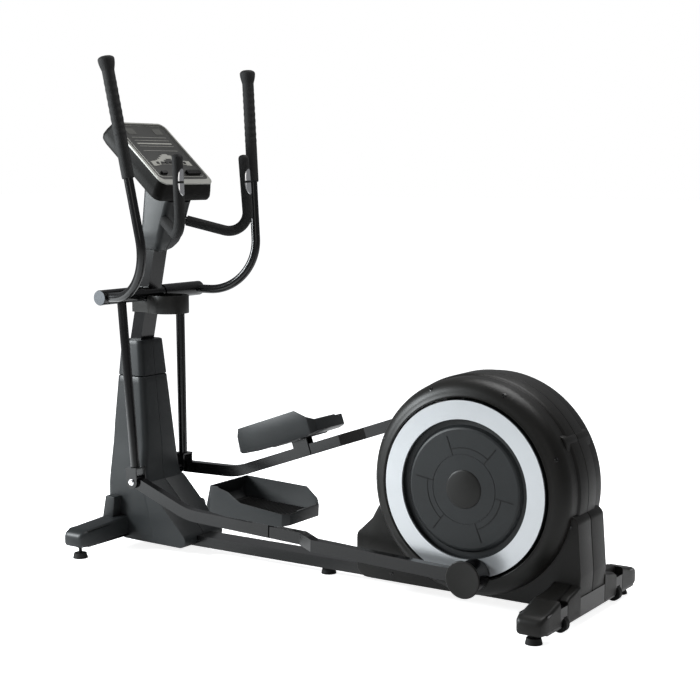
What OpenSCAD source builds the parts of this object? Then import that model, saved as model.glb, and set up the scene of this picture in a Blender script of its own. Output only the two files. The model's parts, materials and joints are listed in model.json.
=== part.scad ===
// Rear-drive elliptical trainer.
// X runs to the rear (drive housing), Z is up, Y = 0 is the plane of symmetry, the user's left is -Y.
// The origin lies on the floor, in the middle of the machine.

/* [Frame] */
// Distance between the front and the rear levelling feet
foot_span = 1762; // [1700:2:2100]
// Distance between the left and the right levelling feet
foot_gauge = 620; // [520:5:760]
// Length of each stabilizer, caps included
stabilizer_l = 700; // [660:5:840]
// Width of the stabilizers, front to rear
stabilizer_w = 90; // [76:1:96]
// Height of the stabilizers
stabilizer_h = 58; // [50:1:64]
// Height of the underside of the front stabilizer
front_stabilizer_z = 44; // [40:1:50]
// Height of the underside of the rear stabilizer
rear_stabilizer_z = 30; // [28:1:44]
// Width of the base beam
beam_w = 80; // [60:1:90]
// Height of the base beam
beam_h = 38; // [34:1:46]
// Height of the underside of the base beam
beam_z = 26; // [24:1:30]

/* [Mast] */
// Lean of the mast towards the user
mast_lean = 12; // [8:0.5:14]
// Depth of the mast tube
mast_d = 48; // [40:1:52]
// Width of the mast tube
mast_w = 72; // [60:1:80]
// Height of the mast's lower flange
mast_foot_z = 640; // [600:5:660]

/* [Linkage] */
// Position of the swing arms' shaft, behind the middle of the machine (negative is forward)
pivot_x = -803.6; // [-815:0.2:-790]
// Height of the swing arms' shaft
pivot_z = 916; // [890:1:930]
// Position of the crank axle, behind the middle of the machine
crank_x = 560; // [540:1:580]
// Height of the crank axle
crank_z = 385; // [375:1:400]
// Throw of the crank, from its axle to its pin
crank_r = 259.7; // [200:0.1:262]
// Length of the swing link, from the shaft to the lower pivot
link_l = 656; // [620:1:680]
// Length of the pedal arm, from the lower pivot to the crank pin
arm_l = 1363; // [1330:1:1400]
// Crank angle at rest: the left pin is this far behind the bottom of its circle
crank_phase = 10.9; // [-30:0.1:30]
// Diameter of the swing arms' shaft
shaft_d = 32; // [28:1:36]
// Radial clearance of the running fits
running_gap = 0.04; // [0.02:0.01:0.08]

/* [Handles] */
// Diameter of the handle and link tubes
tube_d = 32; // [28:1:36]
// Wall of the round tubes
tube_wall = 2; // [1.5:0.5:3]
// Reach of the moving handles behind the shaft
handle_reach = 256; // [200:2:300]
// Height of the moving handles' ends above the shaft
handle_rise = 788; // [680:2:900]
// Bend radius of the moving handles
handle_bend = 177; // [120:1:190]
// Diameter of the foam grips
grip_d = 42; // [38:1:48]
// Length of the foam grips
grip_l = 398; // [330:2:410]
// Half the distance between the fixed grips
bar_half = 183; // [150:1:186]

/* [Pedals] */
// Length of a pedal
pedal_l = 356; // [284:2:360]
// Width of a pedal
pedal_w = 204; // [170:2:210]
// Height of the inner wall of a pedal above its underside
pedal_h = 96; // [80:1:112]

/* [Drive] */
// Radius of the round housing
housing_r = 340; // [330:1:345]
// Half the width of the housing
housing_half = 150; // [146:1:150]
// Radius of the crank discs
disc_r = 275; // [262:1:276]
// Inner radius of the bright rings
ring_in_r = 217; // [205:1:225]
// Radius of the flywheel
flywheel_r = 105; // [88:1:108]
// Radius of the drive pulley
pulley_r = 150; // [125:1:155]

/* [Console] */
// Width of the console
console_w = 284; // [250:2:320]
// Length of the console's face
console_l = 320; // [280:2:340]
// Thickness of the console
console_t = 74; // [60:1:78]

/* [Hidden] */

$fn = 64;
LEFT = -1;
RIGHT = 1;
e = 0.5;                        // overshoot of a cutting tool
charcoal = [0.20, 0.20, 0.20];
satin_black = [0.10, 0.10, 0.11];
slate = [0.30, 0.32, 0.34];
chrome = [0.82, 0.83, 0.84];
silver = [0.78, 0.80, 0.83];
steel = [0.55, 0.56, 0.58];
rubber = [0.07, 0.07, 0.07];

// Frame positions
front_x = -foot_span / 2;
rear_x = foot_span / 2;
beam_top = beam_z + beam_h;
beam_x0 = front_x + stabilizer_w / 2;
beam_x1 = rear_x - stabilizer_w / 2;
cap_l = 34;
wheel_r = 25;
wheel_w = 20;
wheel_y = 195;
wheel_z = 34;
wheel_x = rear_x + 55 - wheel_r;
wheel_axle_d = 8;
foot_pad_r = 26;
foot_pad_h = 18;
foot_stud_d = 12;

// Mast and the post below it; the mast's middle runs a little in front of the shaft
mast_set = 10;
function mast_x(z) = pivot_x - mast_set + (z - pivot_z) * tan(mast_lean);
flange_t = 6;
post_d = 56;
post_w = 84;
post_top_z = mast_foot_z - flange_t;
post_foot_x = beam_x0 + post_d / 2 + 8;
cross_tube_d = 46;
cross_tube_half = 53;

// Linkage closure: the lower pivot is where the link's and the pedal arm's circles meet
sleeve_d = 53;
sleeve_in = 56;
sleeve_out = 269;
link_w = 160;
shaft_half = 258;
function meet(a, ra, b, rb) =
  let (d = norm(b - a), u = (b - a) / d, k = (ra * ra - rb * rb + d * d) / (2 * d))
  a + k * u - sqrt(ra * ra - k * k) * [-u[1], u[0]];
function crank_pin(s) =
  let (side = s == LEFT ? 1 : -1)
  [crank_x + side * crank_r * sin(crank_phase), crank_z - side * crank_r * cos(crank_phase)];
function low_pivot(s) = meet([pivot_x, pivot_z], link_l, crank_pin(s), arm_l);
function link_tilt(s) = asin((low_pivot(s)[0] - pivot_x) / link_l);
function arm_angle(s) =
  let (v = crank_pin(s) - low_pivot(s))
  atan2(v[1], v[0]);

// Pedal arm: a bar with one upward bend and one outward step
arm_h = 40;
arm_w = 30;
arm_wall = 2.5;
bend_u = 245;
bend_v = -66;
front_slope = atan2(bend_v, bend_u);
rear_run = norm([arm_l - bend_u, bend_v]);
rear_slope = atan2(-bend_v, arm_l - bend_u);
bend_radius = 260;
bend_cut = bend_radius * tan((rear_slope - front_slope) / 2);
step_start = 478;
step_end = 556;
boss_w = 208;
boss_d = 96;
boss_in = 160.5;
boss_out = 237;
pin_d = 25;
eye_d = 40;
eye_len = 41;
bolt_d = 12;
clevis_in = 42;
clevis_t = 5;
clevis_l = 46;

// Pedal
pedal_rear = 470;
pedal_front = pedal_rear - pedal_l;
pedal_in = 242 - pedal_w;
pedal_base = 45;
pedal_floor = 66;
pedal_wall = 4;
bracket_u = 285;
bracket_l = 65;

// Drive
disc_in = 120;
disc_face = 150;
ring_t = 6;
opening_r = disc_r + 9;
hub_line_r = 107;
hub_cap_r = 60;
pin_boss_d = 46;
crank_arm_in = 98;
crank_arm_t = 16;
axle_d = 30;
bearing_d = 55;
bearing_w = 14;
side_plate_w = 62;
side_plate_t = 6;
flywheel_x = 795;
flywheel_z = 196;
flywheel_t = 28;
flywheel_w = 24;
small_pulley_r = 25;
pulley_t = 24;
belt_t = 4;
belt_gap = 0.4;
shell_wall = 3;
shell_fit = 1;

// Console: its face is tilted back
console_c = [-740, 1413];
console_tilt = 42;

// ---------- helpers ----------
// Side frame: X stays, Y becomes the world's Z and Z points outward, away from the plane of symmetry
module side(s) rotate([90, 0, 0]) mirror([0, 0, s == LEFT ? 0 : 1]) children();
// Frame of a swing arm: origin on the shaft, the link hangs down along -Y
module on_swing(s) side(s) translate([pivot_x, pivot_z, 0]) rotate([0, 0, link_tilt(s)]) children();
// Frame of a pedal arm: origin at the lower pivot, +X points at the crank pin
module on_arm(s) side(s) translate([low_pivot(s)[0], low_pivot(s)[1], 0])
  rotate([0, 0, arm_angle(s)]) children();
// Frame of the pedal arm's rear run: origin at the bend, +X along the run
module on_run(s) on_arm(s) translate([bend_u, bend_v, 0]) rotate([0, 0, rear_slope]) children();
// Frame of the crank: origin on the axle, +X points at this side's pin
module on_crank(s) side(s) translate([crank_x, crank_z, 0])
  rotate([0, 0, s == LEFT ? crank_phase - 90 : crank_phase + 90]) children();

function unit(v) = v / norm(v);
module tube_section(od, id) difference() {
  circle(d = od);
  if (id > 0) circle(d = id);
}
// Straight round tube between two points
module run(p, q, od, id) {
  v = q - p;
  translate(p) rotate([0, acos(v[2] / norm(v)), atan2(v[1], v[0])])
    linear_extrude(height = norm(v)) tube_section(od, id);
}
// A straight run is a hair slimmer than the bends and reaches a little way into them
seat = 0.2;
seat_l = 1;
// Bend of a round tube at corner b, coming from a and leaving to c
function corner_cut(a, b, c, r) = r * tan(acos(unit(b - a) * unit(c - b)) / 2);
module bend(a, b, c, r, od, id) {
  d = unit(b - a);
  f = unit(c - b);
  turn = acos(d * f);
  m = unit(f - (d * f) * d);
  n = cross(d, m);
  o = b - d * corner_cut(a, b, c, r) + r * m;
  multmatrix([[-m[0], d[0], n[0], o[0]], [-m[1], d[1], n[1], o[1]], [-m[2], d[2], n[2], o[2]]])
    rotate_extrude(angle = turn) translate([r, 0]) tube_section(od, id);
}
// Round tube along a list of corners, with one bend radius
module bent_tube(pts, r, od, id) {
  last = len(pts) - 1;
  cut = [for (i = [0:last]) i == 0 || i == last ? 0 : corner_cut(pts[i - 1], pts[i], pts[i + 1], r)];
  for (i = [1:last]) {
    d = unit(pts[i] - pts[i - 1]);
    a = i == 1 ? 0 : cut[i - 1] - seat_l;
    b = i == last ? 0 : cut[i] - seat_l;
    run(pts[i - 1] + d * a, pts[i] - d * b, od - seat, id > 0 ? id + seat : 0);
  }
  for (i = [1:last - 1]) bend(pts[i - 1], pts[i], pts[i + 1], r, od, id);
}
module rounded_rect(l, w, r) translate([r, r]) offset(r = r) square([l - 2 * r, w - 2 * r]);
module rounded_box(size, r) linear_extrude(height = size[2]) rounded_rect(size[0], size[1], r);

// ---------- base frame ----------
module base_beam() color(satin_black) difference() {
  translate([beam_x0, -beam_w / 2, beam_z]) cube([beam_x1 - beam_x0, beam_w, beam_h]);
  translate([beam_x0 - e, -beam_w / 2 + 3, beam_z + 3])
    cube([beam_x1 - beam_x0 + 2 * e, beam_w - 6, beam_h - 6]);
  translate([mid_foot_x, 0, beam_z - e]) cylinder(d = foot_stud_d + 0.2, h = 3 + 2 * e);
}
mid_foot_x = -37;
tube_half = stabilizer_l / 2 - cap_l;
module stabilizer_tube(x, z) difference() {
  translate([x - stabilizer_w / 2, -tube_half, z]) cube([stabilizer_w, 2 * tube_half, stabilizer_h]);
  translate([x - stabilizer_w / 2 + 3, -tube_half - e, z + 3])
    cube([stabilizer_w - 6, 2 * tube_half + 2 * e, stabilizer_h - 6]);
  for (s = [LEFT, RIGHT]) translate([x, s * foot_gauge / 2, z - e])
    cylinder(d = foot_stud_d + 0.2, h = 3 + 2 * e);
}
gusset_w = 36;
module front_stabilizer() color(satin_black) {
  stabilizer_tube(front_x, front_stabilizer_z);
  // Wedge-shaped gussets beside the tower
  for (s = [LEFT, RIGHT]) side(s) translate([0, 0, tower_low_half + 2]) linear_extrude(height = gusset_w)
    translate([front_x, front_stabilizer_z + stabilizer_h]) polygon([[-44, 0], [4, 0], [14, 84], [-26, 86]]);
}
module rear_stabilizer() color(satin_black) {
  difference() {
    stabilizer_tube(rear_x, rear_stabilizer_z);
    // Pockets for the transport wheels
    for (s = [LEFT, RIGHT]) translate([wheel_x, s * wheel_y, wheel_z]) rotate([90, 0, 0])
      cylinder(r = wheel_r + 3, h = wheel_w + 4, center = true);
  }
  // Cheeks and riveted axles of the transport wheels
  for (s = [LEFT, RIGHT], t = [-1, 1]) translate([wheel_x - 9, s * wheel_y + t * (wheel_w / 2 + 4), wheel_z])
    rotate([90, 0, 0]) cylinder(r = 14, h = 4, center = true);
  for (s = [LEFT, RIGHT]) translate([wheel_x, s * wheel_y, wheel_z]) rotate([90, 0, 0])
    cylinder(d = wheel_axle_d, h = wheel_w + 16, center = true);
}
// Moulded end caps: plugs that close the stabilizer tubes
module stabilizer_cap(x, z, s) side(s) difference() {
  translate([x - stabilizer_w / 2, z, tube_half]) intersection() {
    cube([stabilizer_w, stabilizer_h, cap_l]);
    translate([0, 0, cap_l]) rotate([0, 90, 0]) rounded_box([3 * cap_l, stabilizer_h, stabilizer_w], 14);
    rounded_box([stabilizer_w, stabilizer_h, cap_l], 12);
  }
  translate([x, z - e, foot_gauge / 2]) rotate([-90, 0, 0])
    cylinder(d = foot_stud_d + 10, h = stabilizer_h / 2);
}
module stabilizer_caps() color(charcoal) for (s = [LEFT, RIGHT]) {
  stabilizer_cap(front_x, front_stabilizer_z, s);
  stabilizer_cap(rear_x, rear_stabilizer_z, s);
}
// Levelling foot: rubber-faced pad, threaded stud and locknut
module levelling_foot(z) {
  cylinder(r1 = foot_pad_r, r2 = foot_pad_r - 4, h = foot_pad_h);
  translate([0, 0, foot_pad_h]) cylinder(d = foot_stud_d, h = z + 3 - foot_pad_h);
  translate([0, 0, z - 8]) cylinder(d = 22, h = 8, $fn = 6);
}
module levelling_feet() color(rubber) {
  for (s = [LEFT, RIGHT]) {
    translate([front_x, s * foot_gauge / 2, 0]) levelling_foot(front_stabilizer_z);
    translate([rear_x, s * foot_gauge / 2, 0]) levelling_foot(rear_stabilizer_z);
  }
  translate([mid_foot_x, 0, 0]) levelling_foot(beam_z);
}

// ---------- post, mast and shaft ----------
module box_tube(d, w, h, wall) difference() {
  translate([-d / 2, -w / 2, 0]) cube([d, w, h]);
  translate([-d / 2 + wall, -w / 2 + wall, -e]) cube([d - 2 * wall, w - 2 * wall, h + 2 * e]);
}
flange_bolt_x = 16;
flange_bolt_y = 54;
module flange(z) difference() {
  translate([mast_x(mast_foot_z) - 25, -flange_bolt_y - 12, z]) cube([56, 2 * flange_bolt_y + 24, flange_t]);
  for (s = [LEFT, RIGHT], t = [-1, 1]) translate([mast_x(mast_foot_z) + t * flange_bolt_x, s * flange_bolt_y, z - e])
    cylinder(d = 10, h = flange_t + 2 * e);
}
module front_post() {
  lean = atan2(post_foot_x - mast_x(mast_foot_z), post_top_z - beam_top);
  color(satin_black) {
    difference() {
      translate([post_foot_x, 0, beam_top]) rotate([0, -lean, 0])
        translate([0, 0, -20]) box_tube(post_d, post_w, post_top_z, 3);
      translate([-2000, -200, beam_top - 100]) cube([4000, 400, 100]);
      translate([-2000, -200, post_top_z - flange_t]) cube([4000, 400, 300]);
    }
    flange(post_top_z - flange_t);
  }
}
module mast() color(satin_black) {
  // Leaning tube with the cross tube that holds the shaft
  difference() {
    union() {
      difference() {
        translate([mast_x(pivot_z), 0, pivot_z]) rotate([0, mast_lean, 0]) translate([0, 0, -400])
          box_tube(mast_d, mast_w, 900, 2.5);
        translate([-2000, -200, mast_foot_z - 200]) cube([4000, 400, 200]);
        on_console() translate([-console_l, -console_w, -console_t - 1]) cube([2 * console_l, 2 * console_w, 400]);
      }
      translate([pivot_x, 0, pivot_z]) rotate([90, 0, 0])
        cylinder(d = cross_tube_d, h = 2 * cross_tube_half, center = true);
    }
    translate([pivot_x, 0, pivot_z]) rotate([90, 0, 0])
      cylinder(d = shaft_d, h = 2 * cross_tube_half + 2 * e, center = true);
  }
  difference() {
    flange(mast_foot_z - flange_t);
    translate([mast_x(mast_foot_z), 0, mast_foot_z - flange_t - e]) cylinder(d = 36, h = flange_t + 2 * e);
  }
  // Plate that the console is screwed to
  on_console() translate([20, -50, -console_t - 4]) cube([118, 100, 4]);
}
module pivot_shaft() color(steel) translate([pivot_x, 0, pivot_z]) rotate([90, 0, 0])
  cylinder(d = shaft_d, h = 2 * shaft_half, center = true);

// ---------- front tower ----------
tower_top_half = 66;
tower_mid_half = 88;
tower_low_half = 108;
tower_top_z = 748;
tower_seam_z = 620;
toe_r = 26;
module tower_outline() polygon(concat(
  [[front_x - 2, 96], [front_x - 55, 112], [front_x - 53, 262], [front_x - 44, 450],
   [front_x - 19, tower_top_z], [front_x + 80, tower_top_z], [front_x + 116, 380], [front_x + 119, 270],
   [front_x + 131, 240]],
  [for (a = [50:-20:-90]) [front_x + 281 + toe_r * cos(a), 54 + toe_r * sin(a)]],
  [[front_x + 52, 28]]));
module tower_body(g) intersection() {
  translate([0, 0, -1]) linear_extrude(height = 201) offset(delta = -g) tower_outline();
  rotate([0, 90, 0]) translate([0, 0, front_x - 80]) linear_extrude(height = 460) polygon([
    [1, 20 + g], [1, 760], [-tower_top_half + g, tower_top_z + 1 - g], [-tower_mid_half + g, 380],
    [-tower_low_half + g, 230], [-tower_low_half + g, 20 + g]]);
}
// Room for the stabilizer, the beam, the post and its flange
module frame_room() {
  translate([front_x - stabilizer_w / 2 - shell_fit, front_stabilizer_z - 60, -e])
    cube([stabilizer_w + 2 * shell_fit, stabilizer_h + 60 + shell_fit, 200]);
  translate([front_x, beam_z - 30, -e]) cube([400, beam_h + 30 + shell_fit, beam_w / 2 + shell_fit]);
}
module mast_room() translate([mast_x(pivot_z), pivot_z, 0]) rotate([0, 0, -mast_lean])
  translate([-mast_d / 2 - shell_fit, -400, -mast_w / 2 - shell_fit])
    cube([mast_d + 2 * shell_fit, 900, mast_w + 2 * shell_fit]);
module tower_half() difference() {
  tower_body(0);
  translate([0, 0, -2]) tower_body(shell_wall);
  translate([-2000, tower_seam_z, -5]) cube([4000, 400, 300]);
  translate([-2000, -200, -300]) cube([4000, 2000, 300]);
  frame_room();
}
module tower_left_shell() color(slate) side(LEFT) tower_half();
module tower_right_shell() color(slate) side(RIGHT) tower_half();
module tower_cap() color(charcoal) difference() {
  union() for (s = [LEFT, RIGHT]) side(s) difference() {
    tower_body(0);
    translate([0, 0, -2]) tower_body(shell_wall);
    translate([-2000, tower_seam_z - 2000, -5]) cube([4000, 2000, 300]);
    translate([-2000, -200, -300]) cube([4000, 2000, 300]);
  }
  rotate([90, 0, 0]) mast_room();
}

// ---------- mast neck ----------
neck_half = 66;
module neck_outline() polygon([[-806, 1062], [-778, 1300], [-640, 1380], [-636, 1290],
  [-664, 1236], [-700, 1130], [-712, 1098], [-732, 1074], [-765, 1060]]);
// The neck's lower end is rounded as seen from the rear
module neck_body(g) intersection() {
  translate([0, 0, -1]) linear_extrude(height = 100) offset(delta = -g) neck_outline();
  rotate([0, 90, 0]) translate([0, 0, -900]) linear_extrude(height = 400) {
    translate([-neck_half + g, 1060 + neck_half]) square([neck_half + 1 - g, 300]);
    translate([0, 1060 + neck_half]) circle(r = neck_half - g);
  }
}
module neck_half_shell() difference() {
  neck_body(0);
  translate([0, 0, -2]) neck_body(shell_wall);
  translate([-2000, 0, -300]) cube([4000, 2000, 300]);
  mast_room();
  // Mouth for the fixed handlebar
  rotate([-90, 0, 0]) scale([1, -1, 1]) bar_room();
  // The console's back sits on the cover
  rotate([-90, 0, 0]) scale([1, -1, 1]) console_room();
}
module bar_room() {
  p = bar_points();
  run(p[2], p[3], bar_foam_d + 4, 0);
  for (i = [2, 3]) let (d = unit(p[i == 2 ? 1 : 4] - p[i])) run(p[i], p[i] + 90 * d, bar_foam_d + 5, 0);
}
module console_room() on_console() translate([-console_l, -console_w, -console_t - 5])
  cube([2 * console_l, 2 * console_w, 400]);
module neck_left_cover() color(slate) side(LEFT) neck_half_shell();
module neck_right_cover() color(slate) side(RIGHT) neck_half_shell();

// ---------- bottle holder ----------
holder_z = 848;
holder_h = 64;
holder_x = -720;
holder_r = 70;
module holder_plan(g) hull() {
  translate([holder_x, 0]) circle(r = holder_r - g, $fn = 96);
  for (s = [-1, 1]) translate([holder_x - 54, s * 44]) circle(r = 8 - g, $fn = 24);
}
module bottle_holder() color(charcoal) difference() {
  union() {
    translate([0, 0, holder_z]) linear_extrude(height = holder_h) holder_plan(0);
    // Clamp that grips the mast
    translate([mast_x(holder_z + holder_h / 2) - 38, -mast_w / 2 - 5, holder_z])
      cube([90, mast_w + 10, holder_h]);
  }
  translate([0, 0, holder_z + 3]) linear_extrude(height = holder_h) difference() {
    holder_plan(3.5);
    translate([holder_x - 150, -100]) square([98, 200]);
  }
  translate([mast_x(pivot_z), 0, pivot_z]) rotate([0, mast_lean, 0])
    translate([-mast_d / 2, -mast_w / 2, -200]) cube([mast_d, mast_w, 400]);
  // Room for the cross tube and the turning sleeves
  translate([pivot_x, 0, pivot_z]) rotate([90, 0, 0]) cylinder(d = sleeve_d + 6, h = 400, center = true);
}

// ---------- console ----------
// Frame on the face: +X down the face towards the user, +Z out of the face
module on_console() translate([console_c[0], 0, console_c[1]]) rotate([0, console_tilt, 0]) children();
face_inset = 16;
module console_plan(g) offset(r = 30 - g / 2) square([console_l - 60 - g, console_w - 60 - g], center = true);
bezel_t = 5;
module console_back() color(charcoal) on_console() difference() {
  hull() {
    translate([0, 0, -bezel_t - 4]) linear_extrude(height = 4) console_plan(0);
    translate([6, 0, -console_t + 14]) linear_extrude(height = 4) console_plan(-12);
    translate([2, 0, -console_t]) linear_extrude(height = 2) console_plan(36);
  }
  translate([0, 0, -console_t + 17]) linear_extrude(height = console_t) console_plan(12);
}
module console_bezel() color(silver) on_console() translate([0, 0, -bezel_t]) difference() {
  linear_extrude(height = bezel_t) console_plan(0);
  translate([0, 0, -e]) linear_extrude(height = bezel_t + 2 * e) console_plan(2 * face_inset);
}
module console_face() color(charcoal) on_console() translate([0, 0, -bezel_t - 1]) {
  translate([0, 0, 0]) linear_extrude(height = bezel_t) console_plan(2 * face_inset + 0.4);
  // Ledge that holds a book or a tablet
  for (s = [-1, 1]) translate([console_l / 2 - 2 * face_inset - 14, s * 70 - 30, bezel_t - e])
    cube([12, 60, 12]);
}

// ---------- fixed handlebar ----------
bar_tube_d = 28;
bar_foam_d = 37;
bar_bend = 66;
// Corners from the left grip's end, through the neck, to the right grip's end
function bar_points() = [[-523, -bar_half, 1400], [-505, -bar_half - 8, 1116], [-700, -48, 1180],
  [-700, 48, 1180], [-505, bar_half + 8, 1116], [-523, bar_half, 1400]];
module fixed_handlebar() color(satin_black) {
  bent_tube(bar_points(), bar_bend, bar_tube_d, bar_tube_d - 2 * tube_wall);
  // Saddle that ties the bar to the mast
  difference() {
    translate([-756, -12, 1169]) cube([50, 24, 22]);
    translate([-700, 0, 1180]) rotate([90, 0, 0]) cylinder(d = bar_tube_d - tube_wall, h = 60, center = true);
    translate([mast_x(pivot_z), 0, pivot_z]) rotate([0, mast_lean, 0])
      translate([-mast_d / 2, -mast_w / 2, 0]) cube([mast_d, mast_w, 500]);
  }
}
module bar_foam(s) color(rubber) mirror([0, s == LEFT ? 0 : 1, 0]) {
  p = bar_points();
  d = unit(p[0] - p[1]);
  start = p[1] + 0.86 * (p[2] - p[1]);
  bent_tube([start, p[1], p[0]], bar_bend, bar_foam_d, bar_tube_d + 0.2);
  translate(p[0]) run([0, 0, 0], 7 * d, bar_foam_d, 0);
}
module left_bar_foam() bar_foam(LEFT);
module right_bar_foam() bar_foam(RIGHT);
// Hand pulse plates: two bright shells on the rear of each grip, with a dark gap between them
plate_l = 40;
module pulse_plates() color(chrome) for (s = [LEFT, RIGHT]) mirror([0, s == LEFT ? 0 : 1, 0]) {
  p = bar_points();
  d = unit(p[0] - p[1]);
  for (t = [0, 1]) translate(p[1] + (152 + t * (plate_l + 7)) * d)
    rotate([0, acos(d[2]), atan2(d[1], d[0])]) rotate([0, 0, -atan2(d[1], d[0]) - 60])
      rotate_extrude(angle = 120) translate([bar_foam_d / 2 + 0.1, 0]) square([1.2, plate_l]);
}

// ---------- swing arms ----------
module swing_arm(s) color(satin_black) on_swing(s) {
  // Sleeve that turns on the shaft
  translate([0, 0, sleeve_in]) difference() {
    cylinder(d = sleeve_d, h = sleeve_out - sleeve_in);
    translate([0, 0, -e]) cylinder(d = sleeve_d - 12, h = sleeve_out - sleeve_in + 2 * e);
  }
  // Link
  difference() {
    run([0, -sleeve_d / 2 + 3, link_w], [0, -link_l + clevis_l + 4, link_w], tube_d, tube_d - 2 * tube_wall);
    cylinder(d = sleeve_d - 12, h = 400);
  }
  // Clevis around the pedal arm's eye
  translate([0, -link_l, link_w]) clevis();
}
module clevis() difference() {
  union() {
    for (t = [-1, 1]) translate([0, 0, t * (clevis_in + clevis_t) / 2 - clevis_t / 2]) {
      cylinder(d = clevis_l, h = clevis_t);
      translate([-clevis_l / 2, 0, 0]) cube([clevis_l, clevis_l - 1, clevis_t]);
    }
    translate([-clevis_l / 2 - 2, clevis_l - 1, -clevis_in / 2 - clevis_t])
      cube([clevis_l + 4, 5, clevis_in + 2 * clevis_t]);
  }
  translate([0, 0, -clevis_in]) cylinder(d = bolt_d, h = 2 * clevis_in);
}
module left_swing_arm() swing_arm(LEFT);
module right_swing_arm() swing_arm(RIGHT);
// Flanged bushes at both ends of the sleeve
bush_l = 34;
module sleeve_bushes(s) color(steel) on_swing(s)
  for (w = [sleeve_in, shaft_half - bush_l]) translate([0, 0, w]) difference() {
    cylinder(d = sleeve_d - 12, h = bush_l);
    translate([0, 0, -e]) cylinder(r = shaft_d / 2 + running_gap, h = bush_l + 2 * e);
  }
module left_sleeve_bushes() sleeve_bushes(LEFT);
module right_sleeve_bushes() sleeve_bushes(RIGHT);
module sleeve_cap(s) color(slate) on_swing(s) translate([0, 0, sleeve_out]) {
  cylinder(d = sleeve_d - 3, h = 3);
  translate([0, 0, -8]) cylinder(d = sleeve_d - 12, h = 8.5);
}
module left_sleeve_cap() sleeve_cap(LEFT);
module right_sleeve_cap() sleeve_cap(RIGHT);
// Moving handle: out of the sleeve to the rear, then up and slightly outward
function handle_points() = [[0, 0, 240], [handle_reach, -6, 300], [handle_reach - 70, handle_rise, 345]];
module handle_tube(s) color(satin_black) on_swing(s) difference() {
  bent_tube(handle_points(), handle_bend, tube_d, tube_d - 2 * tube_wall);
  cylinder(d = sleeve_d, h = 400);
}
module left_handle_tube() handle_tube(LEFT);
module right_handle_tube() handle_tube(RIGHT);
knob_d = 56;
module grip(s) color(rubber) on_swing(s) {
  p = handle_points();
  d = unit(p[2] - p[1]);
  translate(p[2] - grip_l * d) rotate([0, acos(d[2]), atan2(d[1], d[0])]) difference() {
    rotate_extrude() polygon([[0, 0], [grip_d / 2 - 1.5, 0], [grip_d / 2, 2], [grip_d / 2, grip_l - 26],
      [knob_d / 2 - 3, grip_l - 12], [knob_d / 2, grip_l - 6], [knob_d / 2, grip_l + 2],
      [knob_d / 2 - 5, grip_l + 8], [0, grip_l + 10]]);
    translate([0, 0, -e]) cylinder(d = tube_d + 0.2, h = grip_l + e);
  }
}
module left_grip() grip(LEFT);
module right_grip() grip(RIGHT);
// Bolt through the clevis and the eye
module link_bolt(s) color(chrome) on_swing(s) translate([0, -link_l, link_w]) {
  reach = clevis_in / 2 + clevis_t;
  translate([0, 0, -reach - 3]) cylinder(d = bolt_d, h = 2 * reach + 6);
  translate([0, 0, reach]) cylinder(d = 22, h = 2);
  translate([0, 0, reach + 2]) cylinder(d = 18, h = 5, $fn = 6);
  translate([0, 0, -reach - 8]) cylinder(d = 19, h = 8, $fn = 6);
}
module left_link_bolt() link_bolt(LEFT);
module right_link_bolt() link_bolt(RIGHT);

// ---------- pedal arms ----------
// Plan of the rear run, grown outward by g: straight, step outward, straight
function run_plan(g) =
  let (a = atan2(boss_w - link_w, step_end - step_start), k = g * tan(a / 2), x0 = bend_cut - seat_l, x1 = rear_run - 30)
  [[x0, link_w - g], [step_start + k, link_w - g], [step_end + k, boss_w - g], [x1, boss_w - g],
   [x1, boss_w + g], [step_end - k, boss_w + g], [step_start - k, link_w + g], [x0, link_w + g]];
module run_prism(g) rotate([90, 0, 0]) translate([0, 0, -arm_h / 2 + arm_w / 2 - g])
  linear_extrude(height = arm_h - arm_w + 2 * g) polygon(run_plan(g));
module bar_ring(g = 0) difference() {
  square([arm_h - g, arm_w - g], center = true);
  square([arm_h - 2 * arm_wall + g, arm_w - 2 * arm_wall + g], center = true);
}
module pedal_arm(s) color(satin_black) {
  // Rear run with its outward step
  on_run(s) difference() {
    run_prism(arm_w / 2 - seat / 2);
    run_prism(arm_w / 2 - arm_wall + seat / 2);
    translate([rear_run, 0, 0]) cylinder(d = boss_d - 6, h = 400);
  }
  // Bend
  on_arm(s) translate([bend_u, bend_v, link_w]) rotate([0, 0, front_slope])
    translate([-bend_cut, bend_radius, 0]) rotate([0, 0, -90])
      rotate_extrude(angle = rear_slope - front_slope) translate([bend_radius, 0]) bar_ring();
  // Front run and the eye that turns on the clevis bolt
  on_arm(s) translate([0, 0, link_w]) difference() {
    union() {
      difference() {
        rotate([0, 0, front_slope]) rotate([0, 90, 0])
          translate([0, 0, 12]) linear_extrude(height = norm([bend_u, bend_v]) - bend_cut - 12 + seat_l)
            rotate([0, 0, 90]) bar_ring(seat);
        cylinder(d = eye_d - 6, h = 100, center = true);
      }
      cylinder(d = eye_d, h = eye_len, center = true);
    }
    cylinder(r = bolt_d / 2 + running_gap, h = 100, center = true);
  }
  // Bearing housing at the crank pin
  on_run(s) translate([rear_run, 0, boss_in]) difference() {
    cylinder(d = boss_d, h = boss_out - boss_in);
    translate([0, 0, -e]) cylinder(d = pin_d, h = boss_out - boss_in + 2 * e);
  }
  // Saddle and plate that the pedal is bolted to
  on_run(s) {
    for (t = [-1, 1]) translate([bracket_u, -arm_h / 2 + 2, link_w + t * (arm_w / 2 + 1.5) - 2])
      cube([bracket_l, pedal_base + arm_h / 2 - 4, 4]);
    translate([bracket_u - 20, pedal_base - 4, pedal_in + 20]) cube([bracket_l + 60, 4, pedal_w - 40]);
  }
}
module left_pedal_arm() pedal_arm(LEFT);
module right_pedal_arm() pedal_arm(RIGHT);

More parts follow.
